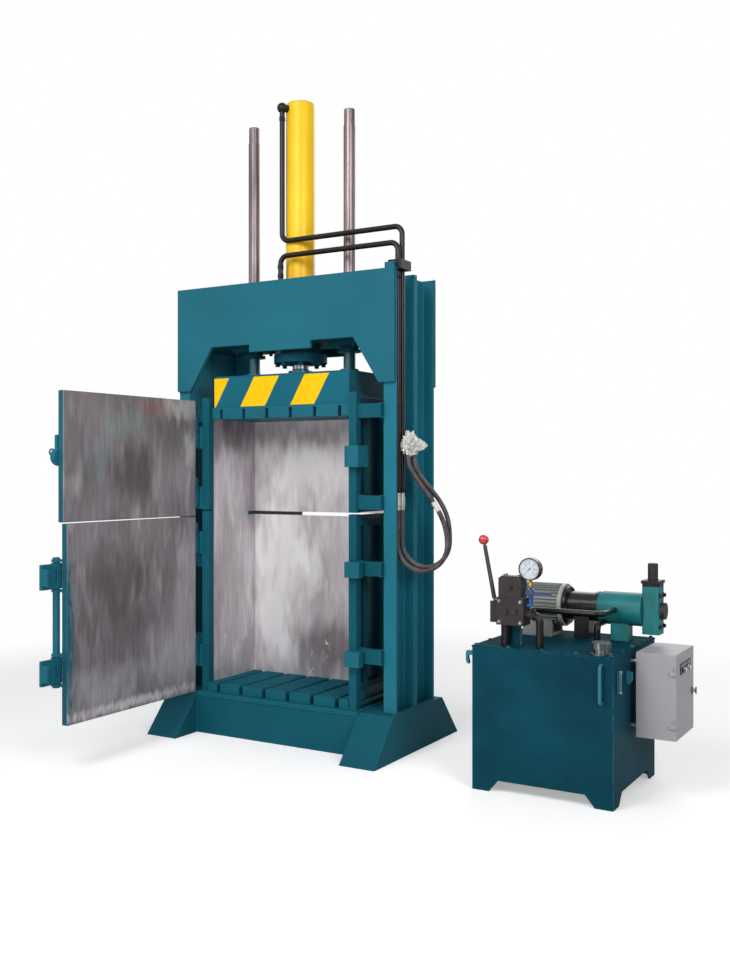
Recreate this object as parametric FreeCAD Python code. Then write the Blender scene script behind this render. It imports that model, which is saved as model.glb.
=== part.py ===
import FreeCAD, Part
import math
import os

# Vertical baler: a four-column press with a split chamber, two doors on one
# hinge line, a ram with guide rods, and a power unit that stands beside it.
# Origin on the floor under the middle of the columns, X right, Y back, Z up, mm.

# Base
beam_outer_x = 709.0
beam_width = 198.0
beam_height = 220.0
beam_foot_length = 914.0
beam_top_length = 534.0
floor_top = 225.0
floor_thickness = 25.0
floor_front = -282.0
cross_beam_setback = 5.0
cross_beam_plate = 12.0
cross_beam_flange = 70.0
rib_pitch = 151.0
rib_slot = 25.0
rib_height = 50.0
rib_chamfer = 4.0
rib_front = -262.0

# Columns, two channels on each side with their flanges turned outwards
column_web_x = 620.0
column_flange = 70.0
column_depth = 206.0
column_seam = 4.0
column_web = 9.0
column_flange_thickness = 13.0
column_root_radius = 12.0
column_top = 2425.0

# Crosshead
plate_thickness = 20.0
crosshead_bottom = 1865.0
crosshead_top = 2430.0
arch_top = 2100.0
arch_foot_x = 600.0
arch_top_x = 452.0
tongue_bottom = 2060.0
tongue_half_width = 195.0
bearer_thickness = 40.0
rib_plate = 16.0
rib_inner_x = 165.0
rib_outer_x = 455.0
rib_top_margin = 30.0
clamp_lug_width = 54.0
clamp_lug_height = 28.0

# Ram and guides
press_axis_y = -25.0
barrel_radius = 80.0
barrel_head_room = 157.0
barrel_cap = 24.0
gland_flange_radius = 144.0
gland_flange_bottom = 2003.0
gland_flange_thickness = 47.0
gland_body_radius = 108.0
piston_rod_radius = 44.0
stroke = 1100.0
rod_tail = 150.0
guide_x = 310.0
guide_rod_radius = 32.0
guide_rod_sink = 30.0
guide_tip_length = 88.0
guide_tip_step = 2.5
running_gap = 0.06
seat_gap = 0.3
sleeve_wall = 16.0
sleeve_bottom = 2048.0
sleeve_top = 2260.0
sleeve_flange = 170.0
sleeve_flange_thickness = 22.0
sleeve_ring_radius = 62.0
sleeve_ring_thickness = 14.0

# Chamber
chamber_half_width = 446.0
chamber_front = -257.0
chamber_rear = 163.0
wall = 8.0
post_width = 44.0
post_depth = 44.0
post_top = 1820.0
wall_top = 1805.0
seam_bottom = 1205.0
seam_top = 1213.0
rear_slit_bottom = 1175.0
rear_slit_top = 1194.0
left_slit_length = 60.0
tie_heights = (495.0, 934.0, 1265.0, 1725.0)
tie_height = 70.0
tie_depth = 50.0
tie_setback = 17.0
stiffener_depth = 36.0
stiffener_height = 50.0
stiffener_heights = (380.0, 720.0, 1060.0, 1480.0)
side_frame_bar = 30.0
side_frame_reach = 34.0
side_frame_uprights = (-170.0, 20.0)
foot_bar_radius = 18.0

# Platen
platen_bottom = 1704.0
shoe_height = 60.0
platen_top = 1937.0
platen_half_width = 430.0
platen_front = -228.0
platen_rear = 140.0
shoe_overhang = 8.0
shoe_slot_width = 20.0
shoe_slot_height = 52.0
platen_chamfer = 12.0
collar_radius = 50.0
collar_height = 22.0
rod_flange_radius = 66.0
rod_flange_height = 26.0

# Doors
hinge_x = -515.0
hinge_y = -288.0
door_reach = 950.0
door_hinge_gap = 22.0
door_thickness = 36.0
door_inner_offset = 20.0
liner_thickness = 5.0
door_skin = 6.0
door_rail = 30.0
hinge_web = 12.0
door_edge = 24.0
upper_door_bottom = 1181.0
upper_door_top = 1803.0
lower_door_bottom = 230.0
lower_door_top = 1175.0
upper_door_angle = 91.5
lower_door_angle = 90.0
knuckle_radius = 17.5
knuckle_height = 76.0
knuckle_gap = 2.0
pin_radius = 8.0
pin_head_radius = 13.0
pin_head_height = 7.0
lug_height = 120.0
lug_gap = 5.0
hinge_splits = (1630.0, 1302.0, 1057.0, 442.0)

# Upper latch, a domed cam with a finger that turns behind a keeper
latch_inset = 20.0
latch_z = 1490.0
latch_radius = 44.0
latch_depth = 46.0
latch_finger_length = 104.0
latch_finger_width = 24.0
latch_finger_thickness = 18.0
ring_radius = 15.0
ring_wire = 4.0
keeper_bottom = 1443.0
keeper_top = 1548.0
keeper_right = 560.0
keeper_lip = 60.0
keeper_thickness = 12.0
keeper_gap = 9.0

# Lower lock, an upright bar that carries two hooks
lock_inset = 2.0
lock_offset = -56.0
lock_bar_radius = 17.0
lock_bar_bottom = 402.0
lock_bar_top = 1016.0
hook_heights = (930.0, 485.0)
hook_height = 118.0
hook_length = 117.0
hook_leg = 12.0
hook_thickness = 16.0
hook_tip = 35.0
bearing_thickness = 12.0
bearing_gap = 6.0
bearing_width = 46.0
lock_plate_gap = 10.0
receiver_height = 78.0
receiver_right = 530.0
receiver_depth = 43.0

# Pipes, the fittings at their ends and the hoses
pipe_radius = 14.0
pipe_bend = 42.0
head_pipe_x = -54.0
head_pipe_y = -122.0
head_port_drop = 38.0
head_pipe_run = 2655.0
head_pipe_drop_x = 678.0
rod_pipe_x = -41.0
rod_pipe_y = -155.0
rod_pipe_start = 2300.0
rod_pipe_run = 2568.0
rod_pipe_drop_x = 672.0
pipe_bottom = 1313.0
fitting_bottom = 1228.0
fitting_radius = 15.5
port_radius = 20.0
ball_radius = 28.0
clamp_height = 47.0
clamp_margin = 14.0
clamp_ear = 26.0
hose_radius = 12.0
hose_first_run = 72.0
wrap_radius = 40.0
wrap_skirt = 4.0
wrap_bottom = 1497.0
hose_end = 1530.0
wrap_top = 1612.0
wrap_tip = 58.0
wrap_along = 70.0
loop_direction = math.radians(30.45)

# Power unit
tank_left = 1222.0
tank_right = 1867.0
tank_front = -468.0
tank_rear = 165.0
tank_top = 643.0
tank_bottom = 52.0
lid_thickness = 8.0
lid_lip = 2.0
foot_reach = 80.0
foot_slope = 44.0
foot_plate = 8.0
handle_inset = 49.0
handle_height = 160.0
handle_top_drop = 36.0
handle_grip_gap = 30.0
handle_bend = 14.0
handle_radius = 7.0
hook_drop = 31.0
hook_inset = 30.0
hook_thickness = 16.0
lug_drop = 88.0
lug_depth = 50.0
lug_reach = 26.0
lug_inset = 186.0
level_drop = 66.0
level_height = 96.0
level_depth = 12.0
level_inset = 56.0
level_width = 20.0
pump_axis_y = 20.0
pump_axis_z = 788.0
motor_left = 1236.0
motor_right = 1492.0
motor_radius = 92.0
motor_flange_radius = 100.0
motor_flange = 18.0
bell_radius = 66.0
bell_right = 1654.0
pump_radius = 76.0
pump_right = 1860.0
head_width = 78.0
head_depth = 88.0
head_top = 926.0
head_cap = 14.0
knob_radius = 23.0
knob_top = 1003.0
end_cap_radius = 38.0
end_cap_length = 20.0
valve_x = 1392.0
valve_y = -402.0
valve_width = 128.0
valve_depth = 84.0
valve_bottom = 740.0
valve_middle = 862.0
valve_top = 956.0
valve_cap_inset = 7.0
post_pipe_radius = 19.0
gauge_x = 1475.0
gauge_y = -402.0
gauge_z = 990.0
gauge_radius = 50.0
gauge_depth = 34.0
gauge_valve_z = 886.0
lever_x = 1306.0
lever_z = 825.0
lever_length = 293.0
lever_lean = 11.2
lever_radius = 6.0
lever_ball_radius = 23.0
lever_pin_radius = 4.0
fork_width = 36.0
fork_ear = 6.0
return_x = 1517.0
return_y = -432.0
return_elbow_z = 802.0
filler_inset = 67.0
filler_y = -420.0
filler_radius = 42.0
box_stand_off = 30.0
box_depth = 166.0
box_front = -242.0
box_rear = 65.0
box_bottom = 268.0
box_top = 636.0
box_sheet = 3.0
box_door_thickness = 6.0
box_hinge_radius = 4.0
box_hinge_pin = 2.0
box_hinge_length = 18.0
box_hinge_out = 4.5
box_hinge_leaf = 20.0
box_hinge_margin = 70.0


def vec(x, y, z):
    return FreeCAD.Vector(x, y, z)


def block(x0, x1, y0, y1, z0, z1):
    low = vec(min(x0, x1), min(y0, y1), min(z0, z1))
    return Part.makeBox(abs(x1 - x0), abs(y1 - y0), abs(z1 - z0), low)


def round_z(x, y, z0, z1, radius):
    return Part.makeCylinder(radius, z1 - z0, vec(x, y, z0))


def round_x(x0, x1, y, z, radius):
    return Part.makeCylinder(radius, x1 - x0, vec(x0, y, z), vec(1, 0, 0))


def round_y(x, y0, y1, z, radius):
    return Part.makeCylinder(radius, y1 - y0, vec(x, y0, z), vec(0, 1, 0))


def sheet_xz(points, y0, y1):
    corners = [vec(x, y0, z) for x, z in points]
    face = Part.Face(Part.makePolygon(corners + corners[:1]))
    return face.extrude(vec(0, y1 - y0, 0))


def sheet_yz(points, x0, x1):
    corners = [vec(x0, y, z) for y, z in points]
    face = Part.Face(Part.makePolygon(corners + corners[:1]))
    return face.extrude(vec(x1 - x0, 0, 0))


def sheet_xy(points, z0, z1):
    corners = [vec(x, y, z0) for x, y in points]
    face = Part.Face(Part.makePolygon(corners + corners[:1]))
    return face.extrude(vec(0, 0, z1 - z0))


def turned(profile, x, y):
    corners = [vec(x + r, y, z) for r, z in profile]
    face = Part.Face(Part.makePolygon(corners + corners[:1]))
    return face.revolve(vec(x, y, 0), vec(0, 0, 1), 360)


def mirrored(shape):
    return shape.mirror(vec(0, 0, 0), vec(1, 0, 0))


def joined(shapes):
    first = shapes[0]
    rest = shapes[1:]
    return first.fuse(rest).removeSplitter() if rest else first


def save(node, shapes):
    solids = [solid for shape in shapes for solid in shape.Solids]
    shape = solids[0] if len(solids) == 1 else Part.makeCompound(solids)
    shape.exportStep("parts/" + node + ".step")


def turned_about_hinge(shape, degrees):
    result = shape.copy()
    result.rotate(vec(hinge_x, hinge_y, 0), vec(0, 0, 1), degrees)
    return result


def tube_path(points, radii):
    edges = []
    start = points[0]
    for index in range(1, len(points) - 1):
        before, here, after = points[index - 1:index + 2]
        into = (here - before).normalize()
        out = (after - here).normalize()
        half_turn = into.getAngle(out) / 2
        trim = radii[index - 1] * math.tan(half_turn)
        first = here - into * trim
        last = here + out * trim
        bisector = (out - into).normalize()
        centre = here + bisector * (radii[index - 1] / math.cos(half_turn))
        middle = centre - bisector * radii[index - 1]
        edges.append(Part.LineSegment(start, first).toShape())
        edges.append(Part.Arc(first, middle, last).toShape())
        start = last
    edges.append(Part.LineSegment(start, points[-1]).toShape())
    return Part.Wire(edges)


def tube(points, radii, radius):
    path = tube_path(points, radii)
    direction = points[1] - points[0]
    circle = Part.Wire(Part.makeCircle(radius, points[0], direction))
    solid = path.makePipeShell([circle], True, True)
    return solid, path.Length


# Sizes that follow from the ones above
column_half_depth = column_depth + column_seam / 2
beam_inner_x = beam_outer_x - beam_width
column_outer_x = column_web_x + column_flange
post_outer_x = chamber_half_width + post_width
wall_outer_x = chamber_half_width + wall
post_rear = chamber_front + post_depth
door_inner_y = hinge_y + door_inner_offset
door_outer_y = door_inner_y - door_thickness
door_free_x = hinge_x + door_reach
slot_centres = [rib_pitch * (index - 2.5) for index in range(6)]
latch_reach = door_reach - latch_inset
lock_reach = door_reach - lock_inset
rod_top = gland_flange_bottom + stroke + rod_tail
barrel_top = rod_top + barrel_head_room
head_pipe_top = barrel_top - head_port_drop
guide_rod_top = sleeve_top + stroke - guide_rod_sink
filler_x = tank_right - filler_inset
box_left = tank_right + box_stand_off
box_right = box_left + box_depth


def side_beams():
    foot = beam_foot_length / 2
    top = beam_top_length / 2
    outline = [(-foot, 0), (foot, 0), (top, beam_height), (-top, beam_height)]
    right = sheet_yz(outline, beam_inner_x, beam_outer_x)
    save("base_side_beams", [right, mirrored(right)])


def cross_beams():
    face = floor_front + cross_beam_setback
    under_floor = floor_top - floor_thickness
    outline = [
        (face, 0),
        (face + cross_beam_flange, 0),
        (face + cross_beam_flange, cross_beam_plate),
        (face + cross_beam_plate, cross_beam_plate),
        (face + cross_beam_plate, under_floor - cross_beam_plate),
        (face + cross_beam_flange, under_floor - cross_beam_plate),
        (face + cross_beam_flange, under_floor),
        (face, under_floor),
    ]
    front = sheet_yz(outline, -beam_inner_x, beam_inner_x)
    rear = front.mirror(vec(0, 0, 0), vec(0, 1, 0))
    save("base_cross_beams", [front, rear])


def floor_plate():
    under_floor = floor_top - floor_thickness
    plate = block(-beam_inner_x, beam_inner_x, floor_front, -floor_front, under_floor, floor_top)
    save("floor_plate", [plate])


def floor_ribs():
    ribs = []
    limit = chamber_half_width - 2
    rear = chamber_rear - 2
    top = floor_top + rib_height
    for index in range(7):
        centre = rib_pitch * (index - 3)
        left = max(centre - (rib_pitch - rib_slot) / 2, -limit)
        right = min(centre + (rib_pitch - rib_slot) / 2, limit)
        outline = [
            (left, floor_top),
            (right, floor_top),
            (right, top - rib_chamfer),
            (right - rib_chamfer, top),
            (left + rib_chamfer, top),
            (left, top - rib_chamfer),
        ]
        ribs.append(sheet_xz(outline, rib_front, rear))
    save("floor_ribs", ribs)


def channel(y0):
    y1 = y0 + column_depth
    web_face = column_web_x + column_web
    inner0 = y0 + column_flange_thickness
    inner1 = y1 - column_flange_thickness
    outline = [
        (column_web_x, y0),
        (column_outer_x, y0),
        (column_outer_x, inner0),
        (web_face, inner0),
        (web_face, inner1),
        (column_outer_x, inner1),
        (column_outer_x, y1),
        (column_web_x, y1),
    ]
    solid = sheet_xy(outline, beam_height, column_top)
    roots = []
    for edge in solid.Edges:
        first, last = edge.Vertexes[0].Point, edge.Vertexes[-1].Point
        upright = abs(first.z - last.z) > column_top / 2
        if upright and abs(first.x - web_face) < 0.01:
            roots.append(edge)
    return solid.makeFillet(column_root_radius, roots)


def columns():
    front = channel(-column_half_depth)
    rear = channel(column_seam / 2)
    save("columns", [front, rear, mirrored(front), mirrored(rear)])


def crosshead_plate(y0):
    half = [
        (column_outer_x, crosshead_top),
        (column_outer_x, crosshead_bottom),
        (arch_foot_x, crosshead_bottom),
        (arch_top_x, arch_top),
        (tongue_half_width, arch_top),
        (tongue_half_width, tongue_bottom),
    ]
    outline = half + [(-x, z) for x, z in reversed(half)]
    return sheet_xz(outline, y0, y0 + plate_thickness)


def crosshead():
    front = crosshead_plate(-column_half_depth - plate_thickness)
    rear = crosshead_plate(column_half_depth)
    lug_x = column_outer_x - clamp_lug_width
    lug_top = crosshead_top + clamp_lug_height
    lug = block(lug_x, column_outer_x, -column_half_depth - plate_thickness, -column_half_depth,
                crosshead_top, lug_top)
    save("crosshead_plates", [joined([front, lug]), rear])
    bearer_top = arch_top + bearer_thickness
    bearer = block(-column_web_x, column_web_x, -column_half_depth, column_half_depth, arch_top, bearer_top)
    bearer = bearer.cut(round_z(0, press_axis_y, arch_top - 1, bearer_top + 1, barrel_radius))
    for x in (-guide_x, guide_x):
        hole = round_z(x, press_axis_y, arch_top - 1, bearer_top + 1, guide_rod_radius + sleeve_wall)
        bearer = bearer.cut(hole)
    save("crosshead_bearer", [bearer])
    ribs = []
    for x in (-rib_outer_x, -rib_inner_x, rib_inner_x, rib_outer_x):
        side = rib_plate / 2
        rib_top = crosshead_top - rib_top_margin
        ribs.append(block(x - side, x + side, -column_half_depth, column_half_depth, bearer_top, rib_top))
    save("crosshead_ribs", ribs)


def guide_sleeves():
    sleeves = []
    for x in (-guide_x, guide_x):
        y = press_axis_y
        half = sleeve_flange / 2
        flange_bottom = arch_top - sleeve_flange_thickness
        tube_solid = round_z(x, y, sleeve_bottom, sleeve_top, guide_rod_radius + sleeve_wall)
        flange = block(x - half, x + half, y - half, y + half, flange_bottom, arch_top)
        ring = round_z(x, y, sleeve_bottom, sleeve_bottom + sleeve_ring_thickness, sleeve_ring_radius)
        bore = round_z(x, y, sleeve_bottom - 1, sleeve_top + 1, guide_rod_radius + running_gap)
        sleeves.append(joined([tube_solid, flange, ring]).cut(bore))
    save("guide_sleeves", sleeves)


def cylinder():
    y = press_axis_y
    barrel_end = barrel_top - barrel_cap
    barrel = round_z(0, y, arch_top, barrel_end, barrel_radius)
    rod_bore = piston_rod_radius + running_gap
    barrel = barrel.cut(round_z(0, y, arch_top - 1, barrel_end - barrel_cap, rod_bore))
    save("cylinder_barrel", [barrel])
    cap = turned([(0, barrel_end), (barrel_radius - 3, barrel_end),
                  (barrel_radius - 3, barrel_top - 6), (barrel_radius - 9, barrel_top), (0, barrel_top)], 0, y)
    save("cylinder_cap", [cap])
    flange_top = gland_flange_bottom + gland_flange_thickness
    profile = [
        (rod_bore, gland_flange_bottom - 8),
        (rod_bore + 16, gland_flange_bottom - 8),
        (rod_bore + 16, gland_flange_bottom),
        (gland_flange_radius, gland_flange_bottom),
        (gland_flange_radius, flange_top),
        (gland_body_radius, flange_top),
        (gland_body_radius, arch_top),
        (rod_bore, arch_top),
    ]
    save("cylinder_gland", [turned(profile, 0, y)])


def post(x_sign, y0, z0, z1):
    return block(x_sign * chamber_half_width, x_sign * post_outer_x, y0, y0 + post_depth, z0, z1)


def chamber_posts():
    posts = []
    for side in (-1, 1):
        posts.append(post(side, chamber_front, floor_top, seam_bottom))
        posts.append(post(side, chamber_front, seam_top, post_top))
        rear_inner = side * wall_outer_x
        rear_outer = side * post_outer_x
        rear_y0 = chamber_rear + wall - post_depth
        rear_y1 = chamber_rear + wall
        posts.append(block(rear_inner, rear_outer, rear_y0, rear_y1, floor_top, seam_bottom))
        posts.append(block(rear_inner, rear_outer, rear_y0, rear_y1, seam_top, post_top))
    save("chamber_posts", posts)


def chamber_walls():
    left = block(-wall_outer_x, -chamber_half_width, post_rear, chamber_rear, floor_top, wall_top)
    slit_front = chamber_rear - left_slit_length
    slit = block(-wall_outer_x - 1, -chamber_half_width + 1, slit_front, chamber_rear + 1,
                 rear_slit_bottom, rear_slit_top)
    lower = block(chamber_half_width, wall_outer_x, post_rear, chamber_rear, floor_top, seam_bottom - 4)
    upper = block(chamber_half_width, wall_outer_x, post_rear, chamber_rear, seam_top, wall_top)
    save("chamber_side_walls", [left.cut(slit), lower, upper])
    rear_y1 = chamber_rear + wall
    rear_lower = block(-wall_outer_x, wall_outer_x, chamber_rear, rear_y1, floor_top, rear_slit_bottom)
    rear_upper = block(-wall_outer_x, wall_outer_x, chamber_rear, rear_y1, rear_slit_top, wall_top)
    save("chamber_rear_walls", [rear_lower, rear_upper])


def chamber_ties():
    ties = []
    for z in tie_heights:
        for side in (-1, 1):
            x0 = side * post_outer_x
            x1 = side * column_web_x
            front = chamber_front + tie_setback
            rear = chamber_rear + wall
            ties.append(block(x0, x1, front, front + tie_depth, z - tie_height / 2, z + tie_height / 2))
            ties.append(block(x0, x1, rear - post_depth, rear, z - tie_height / 2, z + tie_height / 2))
    save("chamber_ties", ties)


def side_frame(side, bottom, top):
    x0 = side * wall_outer_x
    x1 = side * (wall_outer_x + side_frame_reach)
    y1 = chamber_rear + wall - post_depth
    bars = [
        block(x0, x1, post_rear, y1, bottom, bottom + side_frame_bar),
        block(x0, x1, post_rear, y1, top - side_frame_bar, top),
    ]
    for y in side_frame_uprights:
        bars.append(block(x0, x1, y, y + side_frame_bar, bottom, top))
    return joined(bars)


def chamber_stiffeners():
    pieces = []
    rear = chamber_rear + wall
    for z in stiffener_heights:
        z0 = z - stiffener_height / 2
        z1 = z + stiffener_height / 2
        pieces.append(block(-post_outer_x, post_outer_x, rear, rear + stiffener_depth, z0, z1))
    foot_bar_top = floor_top + 2 * foot_bar_radius
    for side in (-1, 1):
        pieces.append(side_frame(side, foot_bar_top + 60, seam_bottom - 30))
        pieces.append(side_frame(side, seam_top + 12, wall_top - 10))
        bar_x = side * (wall_outer_x + foot_bar_radius)
        pieces.append(round_y(bar_x, post_rear, rear - post_depth, floor_top + foot_bar_radius, foot_bar_radius))
    save("chamber_stiffeners", pieces)


def hinges():
    lugs = []
    pins = []
    for split in hinge_splits:
        low = split - knuckle_height
        lug_front = door_inner_y + lug_gap
        lug_rear = chamber_front + tie_setback
        lug = block(-post_outer_x, hinge_x - hinge_web, lug_front, lug_rear, low - 8, low - 8 + lug_height)
        web = block(hinge_x - hinge_web / 2, hinge_x + hinge_web / 2, hinge_y, lug_front, low, split)
        knuckle = round_z(hinge_x, hinge_y, low, split, knuckle_radius)
        bore = round_z(hinge_x, hinge_y, low - 1, split + 1, pin_radius + running_gap)
        lugs.append(joined([lug, web, knuckle]).cut(bore))
        head_bottom = split + knuckle_gap + knuckle_height + 0.5
        pin = round_z(hinge_x, hinge_y, low - 4, head_bottom, pin_radius)
        head = round_z(hinge_x, hinge_y, head_bottom, head_bottom + pin_head_height, pin_head_radius)
        pins.append(joined([pin, head]))
    save("hinge_lugs", lugs)
    save("hinge_pins", pins)


def door_frame(bottom, top, splits):
    x0 = hinge_x + door_hinge_gap
    x1 = door_free_x
    skin_inner = door_inner_y - liner_thickness
    outer = block(x0, x1, door_outer_y, skin_inner, bottom, top)
    pocket = block(x0 + door_edge, x1 - door_edge, door_outer_y + door_skin, skin_inner + 1,
                   bottom + door_edge, top - door_edge)
    rails = []
    for step in (1, 2):
        z = bottom + (top - bottom) * step / 3
        rails.append(block(x0 + door_edge, x1 - door_edge, door_outer_y + door_skin, skin_inner,
                           z - door_rail / 2, z + door_rail / 2))
    frame = joined([outer.cut(pocket)] + rails)
    for split in splits:
        low = split + knuckle_gap
        high = low + knuckle_height
        knuckle = round_z(hinge_x, hinge_y, low, high, knuckle_radius)
        strap = block(hinge_x, x0, hinge_y - hinge_web / 2, hinge_y + hinge_web / 2, low, high)
        bore = round_z(hinge_x, hinge_y, low - 1, high + 1, pin_radius + running_gap)
        frame = joined([frame, knuckle, strap]).cut(bore)
    return frame


def door_liner(bottom, top):
    x0 = hinge_x + door_hinge_gap
    skin_inner = door_inner_y - liner_thickness
    return block(x0, door_free_x, skin_inner, door_inner_y, bottom, top)


def upper_door():
    frame = door_frame(upper_door_bottom, upper_door_top, hinge_splits[:2])
    liner = door_liner(upper_door_bottom, upper_door_top)
    save("upper_door_frame", [turned_about_hinge(frame, -upper_door_angle)])
    save("upper_door_liner", [turned_about_hinge(liner, -upper_door_angle)])


def lock_bearings():
    bearings = []
    x = hinge_x + lock_reach
    y = hinge_y + lock_offset
    half = bearing_width / 2
    for centre in hook_heights:
        above = centre + hook_height / 2 + bearing_gap
        below = centre - hook_height / 2 - bearing_gap - bearing_thickness
        for z in (below, above):
            plate = block(x - half, min(x + half, door_free_x), y, door_outer_y, z, z + bearing_thickness)
            nose = round_z(x, y, z, z + bearing_thickness, half)
            bore = round_z(x, y, z - 1, z + bearing_thickness + 1, lock_bar_radius + running_gap)
            bearings.append(joined([plate, nose]).cut(bore))
    return bearings


def lower_door():
    frame = door_frame(lower_door_bottom, lower_door_top, hinge_splits[2:])
    liner = door_liner(lower_door_bottom, lower_door_top)
    save("lower_door_frame", [turned_about_hinge(frame, -lower_door_angle)])
    save("lower_door_liner", [turned_about_hinge(liner, -lower_door_angle)])
    bearings = [turned_about_hinge(bearing, -lower_door_angle) for bearing in lock_bearings()]
    save("lock_bearings", bearings)


def upper_latch():
    x = hinge_x + latch_reach
    seat = door_outer_y - 0.3
    rim = seat - latch_depth * 0.55
    profile = [(0, 0), (latch_radius, 0), (latch_radius, seat - rim)]
    for step in range(1, 6):
        angle = math.radians(18 * step)
        profile.append((latch_radius * math.cos(angle), seat - rim + latch_depth * 0.45 * math.sin(angle)))
    corners = [vec(x + r, seat - depth, latch_z) for r, depth in profile]
    face = Part.Face(Part.makePolygon(corners + corners[:1]))
    dome = face.revolve(vec(x, seat, latch_z), vec(0, 1, 0), 360)
    half = latch_finger_width / 2
    finger_front = rim - latch_finger_thickness / 2
    finger_rear = rim + latch_finger_thickness / 2
    finger = block(x - half, x + half, finger_front, finger_rear, latch_z, latch_z + latch_finger_length)
    stem_end = seat - latch_depth - 6
    stem = round_y(x, stem_end - ring_wire, seat - latch_depth / 2, latch_z + 22, ring_wire + 2)
    ring = Part.makeTorus(ring_radius, ring_wire, vec(x, stem_end - ring_radius, latch_z + 22), vec(1, 0, 0))
    latch = joined([dome, finger, stem, ring])
    save("upper_latch", [turned_about_hinge(latch, -upper_door_angle)])


def lock_bar():
    x = hinge_x + lock_reach
    y = hinge_y + lock_offset
    plate_rear = door_outer_y - lock_plate_gap
    pieces = [round_z(x, y, lock_bar_bottom, lock_bar_top, lock_bar_radius)]
    for centre in hook_heights:
        z0 = centre - hook_height / 2
        z1 = centre + hook_height / 2
        tip_x = x + hook_length
        plate_front = plate_rear - hook_thickness
        boss = round_z(x, y, z0, z1, lock_bar_radius + 9)
        arm = block(x, tip_x, plate_front, plate_rear, z0, z1)
        leg = block(tip_x - hook_leg, tip_x, plate_rear, plate_rear + hook_tip, z0 + 20, z1 - 20)
        window = block(x + 22, x + 34, plate_front - 1, plate_rear + 1, centre - 26, centre + 26)
        pieces.append(joined([boss, arm, leg]).cut(window))
    save("lock_bar", [turned_about_hinge(joined(pieces), -lower_door_angle)])


def lock_receivers():
    receivers = []
    for centre in hook_heights:
        z0 = centre - receiver_height / 2
        z1 = centre + receiver_height / 2
        front = chamber_front - receiver_depth
        block_solid = block(chamber_half_width, receiver_right, front, chamber_front, z0, z1)
        receivers.append(block_solid)
    base_rear = chamber_front
    base_front = door_outer_y + 6
    finger_rear = door_outer_y - 0.3 - latch_depth * 0.55 + latch_finger_thickness / 2
    finger_front = finger_rear - latch_finger_thickness
    lip_rear = finger_front - keeper_gap
    base = block(chamber_half_width, keeper_right, base_front, base_rear, keeper_bottom, keeper_top)
    cheek_x = keeper_right - keeper_thickness
    cheek = block(cheek_x, keeper_right, lip_rear, base_front, keeper_bottom, keeper_top)
    lip = block(keeper_right - keeper_lip, keeper_right, lip_rear - keeper_thickness, lip_rear,
                keeper_bottom, keeper_top)
    receivers.append(joined([base, cheek, lip]))
    save("lock_receivers", receivers)


def platen():
    front = platen_front
    shoe_top = platen_bottom + shoe_height
    half = platen_half_width
    cut = platen_chamfer
    outline = [
        (front, shoe_top),
        (platen_rear, shoe_top),
        (platen_rear, platen_top - cut),
        (platen_rear - cut, platen_top),
        (front + cut, platen_top),
        (front, platen_top - cut),
    ]
    body = sheet_yz(outline, -half, half)
    save("platen_body", [body])
    wide = half + shoe_overhang
    shoe_front = front - shoe_overhang
    shoe_rear = platen_rear + shoe_overhang
    groove_top = platen_bottom + shoe_slot_height
    save("platen_shoe", [block(-wide, wide, shoe_front, shoe_rear, groove_top, shoe_top)])
    bars = []
    edges = [-wide]
    for x in slot_centres:
        edges += [x - shoe_slot_width / 2, x + shoe_slot_width / 2]
    edges.append(wide)
    for left, right in zip(edges[::2], edges[1::2]):
        outline = [
            (left, groove_top),
            (right, groove_top),
            (right, platen_bottom + rib_chamfer),
            (right - rib_chamfer, platen_bottom),
            (left + rib_chamfer, platen_bottom),
            (left, platen_bottom + rib_chamfer),
        ]
        bars.append(sheet_xz(outline, shoe_front, shoe_rear))
    save("platen_ribs", bars)
    y = press_axis_y
    rod = round_z(0, y, platen_top, rod_top, piston_rod_radius)
    rod_flange = round_z(0, y, platen_top, platen_top + rod_flange_height, rod_flange_radius)
    save("piston_rod", [joined([rod, rod_flange])])
    rods = []
    for x in (-guide_x, guide_x):
        profile = [
            (0, platen_top),
            (collar_radius, platen_top),
            (collar_radius, platen_top + collar_height),
            (guide_rod_radius, platen_top + collar_height),
            (guide_rod_radius, guide_rod_top - guide_tip_length),
            (guide_rod_radius - guide_tip_step, guide_rod_top - guide_tip_length),
            (guide_rod_radius - guide_tip_step, guide_rod_top - 3),
            (guide_rod_radius - guide_tip_step - 3, guide_rod_top),
            (0, guide_rod_top),
        ]
        rods.append(turned(profile, x, y))
    save("guide_rods", rods)


def top_edge(shape, z):
    return [edge for edge in shape.Edges if abs(edge.BoundBox.ZMin - z) < 0.01 and edge.Length > 1][0]


def pipes():
    head_points = [
        vec(head_pipe_x, head_pipe_y, head_pipe_top),
        vec(head_pipe_x, head_pipe_y, head_pipe_run),
        vec(head_pipe_drop_x, head_pipe_y, head_pipe_run),
        vec(head_pipe_drop_x, head_pipe_y, pipe_bottom),
    ]
    rod_points = [
        vec(rod_pipe_x, rod_pipe_y, rod_pipe_start),
        vec(rod_pipe_x, rod_pipe_y, rod_pipe_run),
        vec(rod_pipe_drop_x, rod_pipe_y, rod_pipe_run),
        vec(rod_pipe_drop_x, rod_pipe_y, pipe_bottom),
    ]
    bends = [pipe_bend, pipe_bend]
    head_pipe, head_length = tube(head_points, bends, pipe_radius)
    rod_pipe, rod_length = tube(rod_points, bends, pipe_radius)
    print("pipe lengths", round(head_length), round(rod_length))
    save("pressure_pipes", [head_pipe, rod_pipe])


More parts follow.
